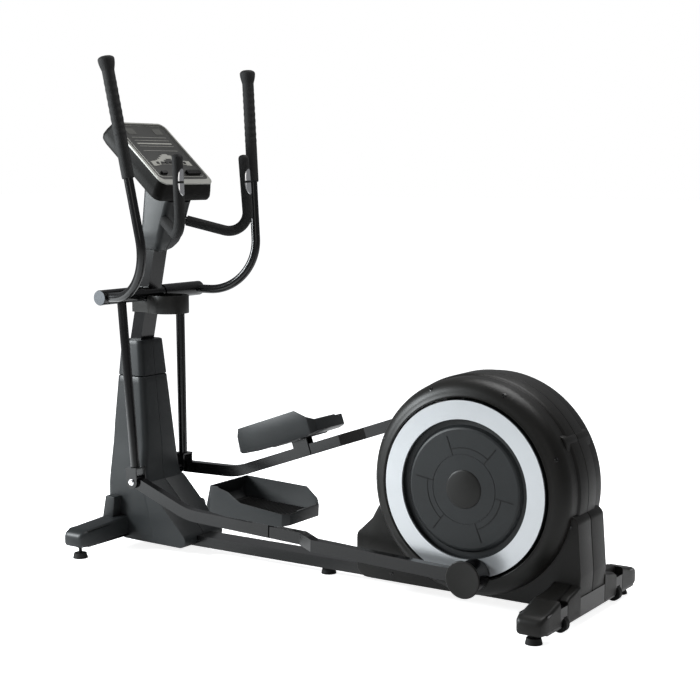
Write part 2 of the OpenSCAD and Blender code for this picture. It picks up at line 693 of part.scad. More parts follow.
// ---------- pedals ----------
pedal_top = pedal_base + pedal_h;
module pedal_side() polygon([[pedal_front, 62], [pedal_front + 38, pedal_top], [pedal_rear - 64, pedal_top],
  [pedal_rear, 92], [pedal_rear, pedal_base + 8], [pedal_rear - 40, pedal_base],
  [pedal_front + 100, pedal_base], [pedal_front + 34, pedal_base + 6]]);
module pedal_plan(g) offset(delta = -g) polygon([[pedal_front - 2, pedal_in + 26], [pedal_front + 26, pedal_in],
  [pedal_rear - 20, pedal_in], [pedal_rear, pedal_in + 20], [pedal_rear, 222], [pedal_rear - 20, 242],
  [pedal_front + 40, 242], [pedal_front - 2, 208]]);
module pedal(s) color(slate) on_run(s) difference() {
  intersection() {
    translate([0, 0, pedal_in]) linear_extrude(height = pedal_w) pedal_side();
    rotate([-90, 0, 0]) mirror([0, 0, 1]) translate([0, 0, -200]) mirror([0, 1, 0])
      linear_extrude(height = 400) pedal_plan(0);
  }
  // Tray
  intersection() {
    translate([0, 0, pedal_in]) linear_extrude(height = pedal_w) polygon([
      [pedal_front + 19, 90], [pedal_front + 43, pedal_top + 1], [pedal_rear + 50, pedal_top + 1],
      [pedal_rear + 50, pedal_floor], [pedal_front + 40, pedal_floor]]);
    rotate([-90, 0, 0]) mirror([0, 0, 1]) translate([0, 0, -200]) mirror([0, 1, 0])
      linear_extrude(height = 400) pedal_plan(pedal_wall);
  }
  // The outer wall is low behind the toe
  translate([0, 0, 242 - 60]) linear_extrude(height = 61) polygon([
    [pedal_front + 68, pedal_top + 1], [pedal_front + 75, pedal_top - 4], [pedal_front + 113, pedal_top - 12],
    [pedal_front + 165, 100], [pedal_rear + 1, 88], [pedal_rear + 1, pedal_top + 1]]);
}
module left_pedal() pedal(LEFT);
module right_pedal() pedal(RIGHT);
module crank_cap(s) color(charcoal) on_arm(s) translate([arm_l, 0, boss_out]) {
  cylinder(d = 117, h = 8);
}
module left_crank_cap() crank_cap(LEFT);
module right_crank_cap() crank_cap(RIGHT);
module crank_pin_part(s) color(steel) on_arm(s) translate([arm_l, 0, boss_in]) cylinder(d = pin_d, h = boss_out - boss_in);
module left_crank_pin() crank_pin_part(LEFT);
module right_crank_pin() crank_pin_part(RIGHT);

// ---------- drive housing ----------
rim_w = 96;
band_w = 56;
module dome_profile(g) polygon(concat(
  [[0, -1], [housing_r + 6 - g, -1], [housing_r + 6 - g, band_w - g], [housing_r - g, band_w + 5 - g]],
  [for (a = [0:10:90]) [housing_r - 54 + (54 - g) * cos(a), rim_w + (housing_half - rim_w - g) * sin(a)]],
  [[0, housing_half - g]]));
module housing_body(g) {
  translate([crank_x, crank_z, 0]) rotate_extrude($fn = 128) dome_profile(g);
  // Rear block down to the stabilizer
  translate([0, 0, -1]) linear_extrude(height = 96 - g) offset(delta = -g) polygon([
    [crank_x, 46], [rear_x + 40, 46], [rear_x + 46, 150], [rear_x + 38, 250], [rear_x + 26, 312],
    [rear_x + 4, 345], [rear_x + 1, 460], [rear_x - 13, 544], [rear_x - 36, 580], [crank_x + 200, 600],
    [crank_x, 400]]);
  // Front toe
  translate([0, 0, -1]) linear_extrude(height = 118 - g) offset(delta = -g) polygon([
    [crank_x, 46], [crank_x - 360, 46], [crank_x - 396, 62], [crank_x - 410, 106], [crank_x - 410, 172],
    [crank_x - 392, 212], [crank_x - 350, 246], [crank_x - 332, 290], [crank_x - 200, 400]]);
}
lip_in = 112;
module housing_half_shell() difference() {
  union() {
    difference() {
      housing_body(0);
      translate([0, 0, -2]) housing_body(shell_wall);
    }
    // Lip round the disc
    translate([crank_x, crank_z, lip_in]) cylinder(r = opening_r + shell_wall, h = housing_half - lip_in - 1);
  }
  translate([crank_x, crank_z, lip_in - e]) cylinder(r = opening_r, h = 100);
  translate([-2000, -200, -300]) cube([4000, 2000, 300]);
  // Room for the base beam and the rear stabilizer
  translate([0, beam_z - 30, -e]) cube([beam_x1, beam_h + 30 + shell_fit, beam_w / 2 + shell_fit + e]);
  translate([rear_x - stabilizer_w / 2 - shell_fit, 0, -e])
    cube([stabilizer_w + 20, rear_stabilizer_z + stabilizer_h + shell_fit, 300]);
  for (p = screw_spots()) translate([p[0], p[1], p[2] - 12]) cylinder(d = 4.2, h = 60);
}
// Screw spots on the housing: x, z and the outward distance of the screw's head
function rim_spot(a) = [crank_x + (housing_r - 17) * cos(a), crank_z + (housing_r - 17) * sin(a), 130];
function screw_spots() = concat([for (a = [22, 67, 113, 157]) rim_spot(a)],
  [[rear_x + 8, 300, 89], [rear_x + 22, 110, 89], [crank_x - 275, 70, 112]]);
module housing_left_shell() color(charcoal) side(LEFT) housing_half_shell();
module housing_right_shell() color(charcoal) side(RIGHT) housing_half_shell();
module shell_screws() color(satin_black) for (s = [LEFT, RIGHT]) side(s)
  for (p = screw_spots()) translate([p[0], p[1], p[2] - 8]) cylinder(d = 4, h = 8);

// ---------- drive train ----------
plate_top_r = 44;
module drive_plate() difference() {
  hull() {
    translate([crank_x, crank_z]) circle(r = plate_top_r);
    translate([flywheel_x, flywheel_z]) circle(r = 24);
    translate([crank_x - 130, beam_top]) square([400, 20]);
  }
  translate([crank_x, crank_z]) circle(d = bearing_d);
  translate([flywheel_x, flywheel_z]) circle(d = 12);
  translate([crank_x + 30, 190]) circle(r = 70);
}
module drive_frame() color(satin_black) difference() {
  union() {
    for (s = [LEFT, RIGHT]) side(s) {
      translate([0, 0, side_plate_w]) linear_extrude(height = side_plate_t) drive_plate();
      translate([crank_x, crank_z, side_plate_w - bearing_w + side_plate_t]) difference() {
        cylinder(d = bearing_d + 14, h = bearing_w - side_plate_t);
        translate([0, 0, -e]) cylinder(d = bearing_d, h = bearing_w);
      }
    }
    translate([crank_x - 130, -side_plate_w, beam_top]) cube([400, 2 * side_plate_w, 6]);
  }
}
module crank_bearings() color(steel) for (s = [LEFT, RIGHT]) side(s)
  translate([crank_x, crank_z, side_plate_w - bearing_w + side_plate_t]) difference() {
    cylinder(d = bearing_d, h = bearing_w);
    translate([0, 0, -e]) cylinder(r = axle_d / 2 + running_gap, h = bearing_w + 2 * e);
  }
module drive_belt() color(rubber) rotate([90, 0, 0]) linear_extrude(height = pulley_t - 6, center = true) difference() {
  belt_plan(belt_t + belt_gap);
  belt_plan(belt_gap);
}
// Outline of an open belt round both pulleys, as arcs and tangents
module belt_plan(g) {
  v = [flywheel_x - crank_x, flywheel_z - crank_z];
  run_angle = atan2(v[1], v[0]);
  wrap = acos((pulley_r - small_pulley_r) / norm(v));
  polygon(concat(
    [for (i = [0:60]) let (a = run_angle + wrap + (360 - 2 * wrap) * i / 60)
      [crank_x + (pulley_r + g) * cos(a), crank_z + (pulley_r + g) * sin(a)]],
    [for (i = [0:20]) let (a = run_angle - wrap + 2 * wrap * i / 20)
      [flywheel_x + (small_pulley_r + g) * cos(a), flywheel_z + (small_pulley_r + g) * sin(a)]]));
}
module brake_magnets() color(steel) side(RIGHT) difference() {
  // C-shaped yoke round the front of the flywheel's rim, on a foot
  union() {
    translate([flywheel_x - flywheel_r - 34, flywheel_z - 30, flywheel_w - 10]) cube([74, 60, flywheel_t + 20]);
    translate([flywheel_x - flywheel_r - 34, beam_top + 6, flywheel_w - 10])
      cube([26, flywheel_z - 30 - beam_top - 6, flywheel_t + 20]);
  }
  translate([flywheel_x - flywheel_r - 12, flywheel_z - 31, flywheel_w - 2]) cube([74, 62, flywheel_t + 4]);
}
module flywheel_shaft() color(steel) side(RIGHT) translate([flywheel_x, flywheel_z, 0])
  cylinder(d = 12, h = 2 * (side_plate_w + side_plate_t) + 12, center = true);
module flywheel() color(steel) side(RIGHT) translate([flywheel_x, flywheel_z, 0]) difference() {
  union() {
    translate([0, 0, flywheel_w]) cylinder(r = flywheel_r, h = flywheel_t, $fn = 96);
    translate([0, 0, -pulley_t / 2]) cylinder(r = small_pulley_r, h = flywheel_w + pulley_t / 2 + 1);
  }
  translate([0, 0, -50]) cylinder(r = 6 + running_gap, h = 150);
  translate([0, 0, flywheel_w + 8]) difference() {
    cylinder(r = flywheel_r - 24, h = 40);
    translate([0, 0, -1]) cylinder(r = 30, h = 60);
  }
}
module drive_pulley() color(satin_black) side(RIGHT) translate([crank_x, crank_z, -pulley_t / 2]) difference() {
  cylinder(r = pulley_r, h = pulley_t, $fn = 96);
  translate([0, 0, -e]) cylinder(d = axle_d, h = pulley_t + 2 * e);
  for (a = [0:60:300]) rotate([0, 0, a]) translate([pulley_r * 0.58, 0, -e]) cylinder(r = 28, h = pulley_t + 2 * e);
}
axle_half = crank_arm_in + crank_arm_t + 2;
module crank_axle() color(steel) side(RIGHT) translate([crank_x, crank_z, 0])
  cylinder(d = axle_d, h = 2 * axle_half, center = true);
// Crank arms: bars from the axle to the pin's seat behind each disc
module crank_arms() color(satin_black) for (s = [LEFT, RIGHT]) on_crank(s) difference() {
  union() {
    translate([0, 0, crank_arm_in]) cylinder(d = 62, h = crank_arm_t);
    translate([0, -24, crank_arm_in]) cube([crank_r, 48, crank_arm_t]);
    translate([crank_r, 0, crank_arm_in]) cylinder(d = pin_boss_d - 4, h = disc_face + ring_t - crank_arm_in - 1);
    translate([crank_r, 0, crank_arm_in]) cylinder(d = 48, h = crank_arm_t);
  }
  translate([0, 0, crank_arm_in - e]) cylinder(d = axle_d, h = crank_arm_t + 2 * e);
  translate([crank_r, 0, crank_arm_in + crank_arm_t]) cylinder(d = pin_d, h = 60);
}
plateau_r = 190;
module crank_disc(s) color(slate) on_crank(s) difference() {
  rotate_extrude($fn = 128) polygon([[0, disc_in], [disc_r - 3, disc_in], [disc_r, disc_in + 3],
    [disc_r, disc_face], [ring_in_r - 2, disc_face], [ring_in_r - 2, disc_face - 12],
    [plateau_r + 8, disc_face - 12], [plateau_r, disc_face - 3], [plateau_r - 6, disc_face - 1],
    [hub_cap_r + 0.3, disc_face + 1], [hub_cap_r + 0.3, disc_face - 3], [0, disc_face - 3]]);
  translate([0, 0, disc_in - e]) rotate_extrude($fn = 128)
    polygon([[40, 0], [disc_r - 4, 0], [disc_r - 4, 12], [40, 12]]);
  translate([crank_r, 0, 0]) cylinder(d = pin_boss_d, h = 300);
  // Fine groove round the hub
  translate([0, 0, disc_face - 1]) rotate_extrude($fn = 96) translate([hub_line_r, 0]) square([2, 5]);
}
module left_disc() crank_disc(LEFT);
module right_disc() crank_disc(RIGHT);
module bright_ring(s) color(silver) on_crank(s) difference() {
  translate([0, 0, disc_face]) cylinder(r = disc_r, h = ring_t, $fn = 128);
  translate([0, 0, disc_face - e]) cylinder(r = ring_in_r, h = ring_t + 2 * e, $fn = 128);
  translate([crank_r, 0, 0]) cylinder(d = pin_boss_d, h = 300);
}
module left_ring() bright_ring(LEFT);
module right_ring() bright_ring(RIGHT);
module hub_caps() color(charcoal) for (s = [LEFT, RIGHT]) on_crank(s) translate([0, 0, disc_face - 3])
  rotate_extrude() polygon([[0, 0], [hub_cap_r, 0], [hub_cap_r, 5], [hub_cap_r - 6, 7], [0, 8]]);

// ---------- transport wheels ----------
module transport_wheel(s) color(rubber) translate([wheel_x, s * wheel_y, wheel_z]) rotate([90, 0, 0]) difference() {
  cylinder(r = wheel_r, h = wheel_w, center = true);
  cylinder(r = wheel_axle_d / 2 + running_gap, h = wheel_w + 2, center = true);
}
module left_wheel() transport_wheel(LEFT);
module right_wheel() transport_wheel(RIGHT);

base_beam();
front_stabilizer();
rear_stabilizer();
stabilizer_caps();
levelling_feet();
front_post();
mast();
pivot_shaft();
tower_left_shell();
tower_right_shell();
tower_cap();
neck_left_cover();
neck_right_cover();
bottle_holder();
console_back();
console_bezel();
console_face();
fixed_handlebar();
left_bar_foam();
right_bar_foam();
pulse_plates();
housing_left_shell();
housing_right_shell();
drive_frame();
crank_bearings();
drive_belt();
brake_magnets();
flywheel_shaft();
shell_screws();
crank_axle();
crank_arms();
drive_pulley();
left_disc();
right_disc();
left_ring();
right_ring();
hub_caps();
flywheel();
left_wheel();
right_wheel();
left_swing_arm();
left_sleeve_bushes();
left_sleeve_cap();
left_handle_tube();
left_grip();
left_link_bolt();
left_pedal_arm();
left_pedal();
left_crank_cap();
left_crank_pin();
right_swing_arm();
right_sleeve_bushes();
right_sleeve_cap();
right_handle_tube();
right_grip();
right_link_bolt();
right_pedal_arm();
right_pedal();
right_crank_cap();
right_crank_pin();
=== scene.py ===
# %% [markdown]
# # A rear-drive elliptical trainer
# The frame comes from the CAD pack: every tube, pivot and bearing already has its true place. This lesson
# gives each piece its surface. Metal parts keep their CAD meshes. Moulded covers, foam and small repeated
# details get meshes of their own, because a moulding has round edges and a foam grip has a crown.

import json
import math

import bmesh
import bpy
from mathutils import Matrix, Vector


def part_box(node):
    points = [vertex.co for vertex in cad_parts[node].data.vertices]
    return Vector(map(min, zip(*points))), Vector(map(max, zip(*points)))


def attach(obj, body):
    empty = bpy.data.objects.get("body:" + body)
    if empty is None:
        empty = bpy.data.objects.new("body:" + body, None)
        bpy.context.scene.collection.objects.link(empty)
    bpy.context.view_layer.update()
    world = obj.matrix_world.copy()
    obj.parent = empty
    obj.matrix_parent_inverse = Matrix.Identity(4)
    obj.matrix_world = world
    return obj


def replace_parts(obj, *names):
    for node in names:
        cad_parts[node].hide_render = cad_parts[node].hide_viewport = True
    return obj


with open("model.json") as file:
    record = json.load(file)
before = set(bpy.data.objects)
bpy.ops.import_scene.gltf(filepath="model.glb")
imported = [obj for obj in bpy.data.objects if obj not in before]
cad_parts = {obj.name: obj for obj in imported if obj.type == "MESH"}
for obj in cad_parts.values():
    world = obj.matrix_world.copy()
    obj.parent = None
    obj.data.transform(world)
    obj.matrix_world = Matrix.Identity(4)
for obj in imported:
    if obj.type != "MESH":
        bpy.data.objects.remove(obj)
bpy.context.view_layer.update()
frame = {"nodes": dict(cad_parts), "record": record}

# %% [markdown]
# ## Places read from the frame
# The lower pivots and the shaft are joints, so their places are read from the record. The pedal arms and the
# moving handles are tilted at rest. A small function turns a point in each arm's own frame into the model's.

# %% Places
LEFT, RIGHT = -1, 1
NAMES = {LEFT: "left", RIGHT: "right"}
joint_at = {j["name"]: Vector(j["pos_m"]) for j in frame["record"]["behaviour"]["joints"]}
shaft = joint_at["left_swing"]
crank = joint_at["crank_turn"]


def middle(node):
    low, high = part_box(node)
    return (low + high) / 2


def turned(origin, angle, side, u, v, w):
    """Point at u, v in a frame turned by angle in the side view, and w outward from the middle plane."""
    c, s = math.cos(angle), math.sin(angle)
    return Vector((origin.x + u * c - v * s, side * w, origin.z + u * s + v * c))


def pointing(a, b):
    return math.atan2(b.z - a.z, b.x - a.x)


arm_bend = Vector((0.245, 0, -0.066))
SPLIT = 0.0006  # each half of a cover starts this far from the middle plane


def run_frame(side):
    """Origin and angle of the pedal arm's straight rear run."""
    low = joint_at[NAMES[side] + "_foot"]
    pin = middle(NAMES[side] + "_crank_pin")
    length = math.hypot(pin.x - low.x, pin.z - low.z)
    angle = pointing(low, pin)
    start = turned(low, angle, side, arm_bend.x, arm_bend.z, 0)
    start.y = 0
    return start, angle + math.atan2(-arm_bend.z, length - arm_bend.x)


def swing_angle(side):
    return pointing(shaft, joint_at[NAMES[side] + "_foot"]) + math.pi / 2


def on_swing(side, u, v, w):
    return turned(shaft, swing_angle(side), side, u, v, w)


print("crank at", tuple(round(c, 4) for c in crank), "shaft at", tuple(round(c, 4) for c in shaft))

# %% [markdown]
# ## Finishes
# Nearly everything on this machine is dark, so the finishes differ by gloss and grain rather than by hue.
# Moulded covers have a fine spark-eroded grain, painted tubes are smoother and a little glossy, foam is dull
# and open. Noise on Object coordinates drives both the grain (Bump) and slow changes of colour and gloss, so
# no surface is one flat colour.

# %% Finishes with grain and mottle


def finish(name, colour, rough, metallic=0.0, grain=700.0, depth=0.12, mottle=0.12, shine=0.5):
    """Slow noise changes colour and gloss, fine noise makes the bump."""
    m = bpy.data.materials.new(name)
    m.use_nodes = True
    t = m.node_tree
    shader = t.nodes["Principled BSDF"]
    shader.inputs["Metallic"].default_value = metallic
    shader.inputs["Specular IOR Level"].default_value = shine
    place = t.nodes.new("ShaderNodeTexCoord")
    slow = t.nodes.new("ShaderNodeTexNoise")
    slow.inputs["Scale"].default_value = 7.0
    slow.inputs["Detail"].default_value = 5.0
    t.links.new(place.outputs["Object"], slow.inputs["Vector"])
    shades = t.nodes.new("ShaderNodeValToRGB")
    for stop, k in zip(shades.color_ramp.elements, (1 - mottle, 1 + mottle)):
        stop.color = (*[min(1.0, c * k) for c in colour], 1)
    shades.color_ramp.elements[0].position = 0.3
    shades.color_ramp.elements[1].position = 0.7
    t.links.new(slow.outputs["Fac"], shades.inputs["Fac"])
    t.links.new(shades.outputs["Color"], shader.inputs["Base Color"])
    gloss = t.nodes.new("ShaderNodeMapRange")
    gloss.inputs["To Min"].default_value = rough * 0.85
    gloss.inputs["To Max"].default_value = min(1.0, rough * 1.15)
    t.links.new(slow.outputs["Fac"], gloss.inputs["Value"])
    t.links.new(gloss.outputs["Result"], shader.inputs["Roughness"])
    fine = t.nodes.new("ShaderNodeTexNoise")
    fine.inputs["Scale"].default_value = grain
    fine.inputs["Detail"].default_value = 3.0
    t.links.new(place.outputs["Object"], fine.inputs["Vector"])
    bump = t.nodes.new("ShaderNodeBump")
    bump.inputs["Strength"].default_value = depth
    bump.inputs["Distance"].default_value = 0.001
    t.links.new(fine.outputs["Fac"], bump.inputs["Height"])
    t.links.new(bump.outputs["Normal"], shader.inputs["Normal"])
    return m


charcoal = finish("charcoal_moulding", (0.0075, 0.0071, 0.0064), 0.40, depth=0.25, shine=0.20)
slate = finish("slate_moulding", (0.0105, 0.0118, 0.0125), 0.42, depth=0.25, shine=0.25)
tread_black = finish("tread_rubber", (0.0045, 0.0045, 0.0045), 0.55, grain=400, depth=0.35, shine=0.2)
paint = finish("black_paint", (0.0026, 0.0026, 0.0028), 0.20, grain=300, depth=0.05, shine=0.35)
foam = finish("grip_foam", (0.0060, 0.0060, 0.0060), 0.7, grain=1500, depth=0.6, shine=0.2)
pad_rubber = finish("foot_rubber", (0.0050, 0.0050, 0.0050), 0.6, grain=500, depth=0.3, shine=0.2)
face_black = finish("face_film", (0.0200, 0.0198, 0.0180), 0.35, grain=900, depth=0.04, shine=0.30)
print_grey = finish("printed_grey", (0.22, 0.218, 0.20), 0.5, grain=500, depth=0.05, shine=0.2)
console_black = finish("console_moulding", (0.0036, 0.0034, 0.0030), 0.5, depth=0.3, shine=0.08)
window_grey = finish("window_film", (0.060, 0.060, 0.055), 0.2, grain=60, depth=0.01, shine=0.3)
silver = finish("silver_moulding", (0.190, 0.190, 0.175), 0.38, 0.2, grain=900, depth=0.06, shine=0.3)
pale = finish("pale_cap", (0.070, 0.076, 0.084), 0.4, shine=0.25)
chrome = finish("chrome_plate", (0.74, 0.74, 0.75), 0.12, 1.0, grain=60, depth=0.01, mottle=0.03)
steel = finish("turned_steel", (0.30, 0.30, 0.31), 0.3, 1.0, grain=400, depth=0.08)
iron = finish("cast_iron", (0.08, 0.08, 0.085), 0.5, 0.8, grain=250, depth=0.3)
print("finishes", len(bpy.data.materials))

# %% [markdown]
# ## Brushed metal on the bright rings
# The ring round each disc is brushed aluminium. It is turned on a lathe, so its scratches run round the
# crank's axle: they depend on the radius only. The Mapping node moves the pattern's centre to the axle, the
# distance from it feeds a one-dimensional noise, and that noise sets gloss and a shallow bump.

# %% Brushed ring


def brushed_round(name, centre, colour):
    m = finish(name, colour, 0.3, metallic=0.75, mottle=0.03)
    t = m.node_tree
    shader = t.nodes["Principled BSDF"]
    place = t.nodes.new("ShaderNodeTexCoord")
    centred = t.nodes.new("ShaderNodeMapping")
    centred.inputs["Location"].default_value = (-centre.x, 0, -centre.z)
    flat = t.nodes.new("ShaderNodeVectorMath")
    flat.operation = "MULTIPLY"
    flat.inputs[1].default_value = (1, 0, 1)
    radius = t.nodes.new("ShaderNodeVectorMath")
    radius.operation = "LENGTH"
    lines = t.nodes.new("ShaderNodeTexNoise")
    lines.noise_dimensions = "1D"
    lines.inputs["Scale"].default_value = 1400.0
    bump = t.nodes.new("ShaderNodeBump")
    bump.inputs["Strength"].default_value = 0.12
    bump.inputs["Distance"].default_value = 0.0004
    gloss = t.nodes.new("ShaderNodeMapRange")
    gloss.inputs["To Min"].default_value = 0.24
    gloss.inputs["To Max"].default_value = 0.42
    t.links.new(place.outputs["Object"], centred.inputs["Vector"])
    t.links.new(centred.outputs["Vector"], flat.inputs[0])
    t.links.new(flat.outputs["Vector"], radius.inputs[0])
    t.links.new(radius.outputs["Value"], lines.inputs["W"])
    t.links.new(lines.outputs["Fac"], bump.inputs["Height"])
    t.links.new(lines.outputs["Fac"], gloss.inputs["Value"])
    t.links.new(bump.outputs["Normal"], shader.inputs["Normal"])
    t.links.new(gloss.outputs["Result"], shader.inputs["Roughness"])
    return m


bright = brushed_round("brushed_ring", crank, (0.46, 0.475, 0.49))
print("ring finish", bright.name)

# %% [markdown]
# ## Finishes on the CAD nodes
# A CAD node keeps its mesh and only gets a material. One list says which finish each piece has.

# %% Paint the CAD nodes
WEARS = {
    paint: "base_beam front_stabilizer rear_stabilizer front_post mast fixed_handlebar drive_frame "
    "crank_arms swing_arm handle_tube pedal_arm shell_screws",
    charcoal: "stabilizer_caps tower_cap bottle_holder console_back housing_left_shell housing_right_shell "
    "hub_caps crank_cap drive_pulley",
    slate: "tower_left_shell tower_right_shell neck_left_cover neck_right_cover left_disc right_disc pedal",
    face_black: "console_face",
    silver: "console_bezel",
    bright: "left_ring right_ring",
    pale: "sleeve_cap",
    pad_rubber: "levelling_feet drive_belt wheel",
    foam: "bar_foam grip",
    chrome: "pulse_plates link_bolt",
    steel: "pivot_shaft crank_bearings brake_magnets flywheel_shaft crank_axle sleeve_bushes crank_pin",
    iron: "flywheel",
}
finish_of = {word: m for m, words in WEARS.items() for word in words.split()}
for name, obj in frame["nodes"].items():
    own = name if name in finish_of else name.split("_", 1)[1]
    obj.data.materials.clear()
    obj.data.materials.append(finish_of[own])
print("painted", len(frame["nodes"]), "nodes")

# %% [markdown]
# ## Mesh helpers
# Three ways of making a solid cover nearly every moulding here: a flat outline pushed through a thickness
# with its edges rounded, a profile turned about an axle, and a skin laid over a row of sections. Each ends in
# the same place: normals outward, smooth where the surface is round, sharp where it is an edge.

# %% From bmesh to a finished piece
SHARP = math.radians(32)


def settle(bm, name, material):
    bmesh.ops.remove_doubles(bm, verts=bm.verts, dist=1e-6)
    bmesh.ops.recalc_face_normals(bm, faces=bm.faces)
    for f in bm.faces:
        f.smooth = True
    for e in bm.edges:
        e.smooth = len(e.link_faces) == 2 and e.calc_face_angle(0) < SHARP
    mesh = bpy.data.meshes.new(name)
    bm.to_mesh(mesh)
    bm.free()
    mesh.materials.append(material)
    obj = bpy.data.objects.new(name, mesh)
    bpy.context.collection.objects.link(obj)
    return obj


# add_prism pushes along Y, so this turns its (x, depth, z) into (u, w, v) of a tilted frame
SWAP = Matrix(((1, 0, 0, 0), (0, 0, 1, 0), (0, 1, 0, 0), (0, 0, 0, 1)))


def add_prism(bm, outline, depth_a, depth_b, round_r=0.0, steps=3, place=None):
    """Outline in the side view (x, z) pushed from depth_a to depth_b along Y, edges rounded."""
    piece = bmesh.new()
    near = [piece.verts.new((x, depth_a, z)) for x, z in outline]
    far = [piece.verts.new((x, depth_b, z)) for x, z in outline]
    piece.faces.new(near)
    piece.faces.new(far[::-1])
    n = len(outline)
    for i in range(n):
        piece.faces.new((near[i], far[i], far[(i + 1) % n], near[(i + 1) % n]))
    bmesh.ops.recalc_face_normals(piece, faces=piece.faces)
    if round_r:
        bmesh.ops.bevel(piece, geom=piece.edges[:], offset=round_r, segments=steps, profile=0.5,
                        affect="EDGES", clamp_overlap=True)
    if place:
        bmesh.ops.transform(piece, matrix=place, verts=piece.verts)
    keep = bpy.data.meshes.new("scratch")
    piece.to_mesh(keep)
    piece.free()
    bm.from_mesh(keep)
    bpy.data.meshes.remove(keep)


def add_turned(bm, profile, centre, side, steps=160):
    """Closed profile of (radius, outward distance) turned about an axle along Y."""
    rings = []
    for i in range(steps):
        a = 2 * math.pi * i / steps
        rings.append([bm.verts.new((centre.x + r * math.cos(a), side * w, centre.z + r * math.sin(a)))
                      for r, w in profile])
    n = len(profile)
    for i in range(steps):
        p, q = rings[i], rings[(i + 1) % steps]
        for k in range(n):
            bm.faces.new((p[k], q[k], q[(k + 1) % n], p[(k + 1) % n]))


def add_loft(bm, sections):
    """Skin over sections with equal counts of points, closed at both ends."""
    rings = [[bm.verts.new(p) for p in s] for s in sections]
    n = len(rings[0])
    for a, b in zip(rings, rings[1:]):
        for k in range(n):
            bm.faces.new((a[k], a[(k + 1) % n], b[(k + 1) % n], b[k]))
    bm.faces.new(rings[0][::-1])
    bm.faces.new(rings[-1])


def rounded(low_a, high_a, low_b, high_b, r, steps=5):
    """Corners of a rectangle, rounded, as (a, b) pairs."""
    r = min(r, (high_a - low_a) / 2 - 1e-5, (high_b - low_b) / 2 - 1e-5)
    pts = []
    for ca, cb, start in ((high_a - r, high_b - r, 0), (low_a + r, high_b - r, 90),
                          (low_a + r, low_b + r, 180), (high_a - r, low_b + r, 270)):
        for k in range(steps + 1):
            t = math.radians(start + 90 * k / steps)
            pts.append((ca + r * math.cos(t), cb + r * math.sin(t)))
    return pts


def arc(cx, cz, r, a0, a1, steps):
    """Points on an arc, in degrees."""
    return [(cx + r * math.cos(math.radians(a0 + (a1 - a0) * k / steps)),
             cz + r * math.sin(math.radians(a0 + (a1 - a0) * k / steps))) for k in range(steps + 1)]


print("helpers ready")

# %% [markdown]
# ## Repeating details with Geometry Nodes
# Treads, ticks, ridges and keys are the same small block many times over. Each tree takes its sizes as named
# inputs, lays the block along a row or round a circle, and ends in Realize Instances and Set Material. The
# result is turned into a plain mesh, because an exporter does not keep instances.

# %% Node trees


def new_tree(name, inputs):
    tree = bpy.data.node_groups.new(name, "GeometryNodeTree")
    tree.interface.new_socket(name="Geometry", in_out="OUTPUT", socket_type="NodeSocketGeometry")
    for label, kind in inputs:
        tree.interface.new_socket(name=label, in_out="INPUT", socket_type="NodeSocket" + kind)
    return tree, tree.nodes.new("NodeGroupInput"), tree.nodes.new("NodeGroupOutput")


def end_tree(tree, source, given, out):
    real = tree.nodes.new("GeometryNodeRealizeInstances")
    dress = tree.nodes.new("GeometryNodeSetMaterial")
    tree.links.new(source, real.inputs[0])
    tree.links.new(real.outputs[0], dress.inputs["Geometry"])
    tree.links.new(given.outputs["Material"], dress.inputs["Material"])
    tree.links.new(dress.outputs[0], out.inputs[0])


def row_tree():
    """A block repeated in a straight row."""
    tree, given, out = new_tree("row_of_blocks", [("Count", "Int"), ("Start", "Vector"), ("Step", "Vector"),
                                                  ("Block", "Vector"), ("Material", "Material")])
    line = tree.nodes.new("GeometryNodeMeshLine")
    block = tree.nodes.new("GeometryNodeMeshCube")
    put = tree.nodes.new("GeometryNodeInstanceOnPoints")
    for a, b in (("Count", line.inputs["Count"]), ("Start", line.inputs["Start Location"]),
                 ("Step", line.inputs["Offset"]), ("Block", block.inputs["Size"])):
        tree.links.new(given.outputs[a], b)
    tree.links.new(line.outputs[0], put.inputs["Points"])
    tree.links.new(block.outputs[0], put.inputs["Instance"])
    end_tree(tree, put.outputs[0], given, out)
    return tree


def ring_tree():
    """A block repeated round a circle, each turned to point away from the middle."""
    tree, given, out = new_tree("ring_of_blocks", [("Count", "Int"), ("Radius", "Float"), ("Block", "Vector"),
                                                   ("Material", "Material")])
    circle = tree.nodes.new("GeometryNodeMeshCircle")
    block = tree.nodes.new("GeometryNodeMeshCube")
    put = tree.nodes.new("GeometryNodeInstanceOnPoints")
    where = tree.nodes.new("GeometryNodeInputPosition")
    align = tree.nodes.new("FunctionNodeAlignRotationToVector")
    align.axis = "X"
    tree.links.new(given.outputs["Count"], circle.inputs["Vertices"])
    tree.links.new(given.outputs["Radius"], circle.inputs["Radius"])
    tree.links.new(given.outputs["Block"], block.inputs["Size"])
    tree.links.new(where.outputs[0], align.inputs["Vector"])
    tree.links.new(align.outputs[0], put.inputs["Rotation"])
    tree.links.new(circle.outputs[0], put.inputs["Points"])
    tree.links.new(block.outputs[0], put.inputs["Instance"])
    end_tree(tree, put.outputs[0], given, out)
    return tree


ROW, RING = row_tree(), ring_tree()


def grow(name, tree, place=None, **values):
    """Runs a tree with these inputs and returns the result as a plain mesh object."""
    seed = bpy.data.objects.new(name + "_seed", bpy.data.meshes.new(name + "_seed"))
    bpy.context.collection.objects.link(seed)
    mod = seed.modifiers.new("grow", "NODES")
    mod.node_group = tree
    for item in tree.interface.items_tree:
        if item.in_out == "INPUT":
            mod[item.identifier] = values[item.name.lower()]
    bpy.context.view_layer.update()
    depsgraph = bpy.context.evaluated_depsgraph_get()
    mesh = bpy.data.meshes.new_from_object(seed.evaluated_get(depsgraph))
    bpy.data.objects.remove(seed)
    if place:
        mesh.transform(place)
    mesh.name = name
    obj = bpy.data.objects.new(name, mesh)
    bpy.context.collection.objects.link(obj)
    return obj


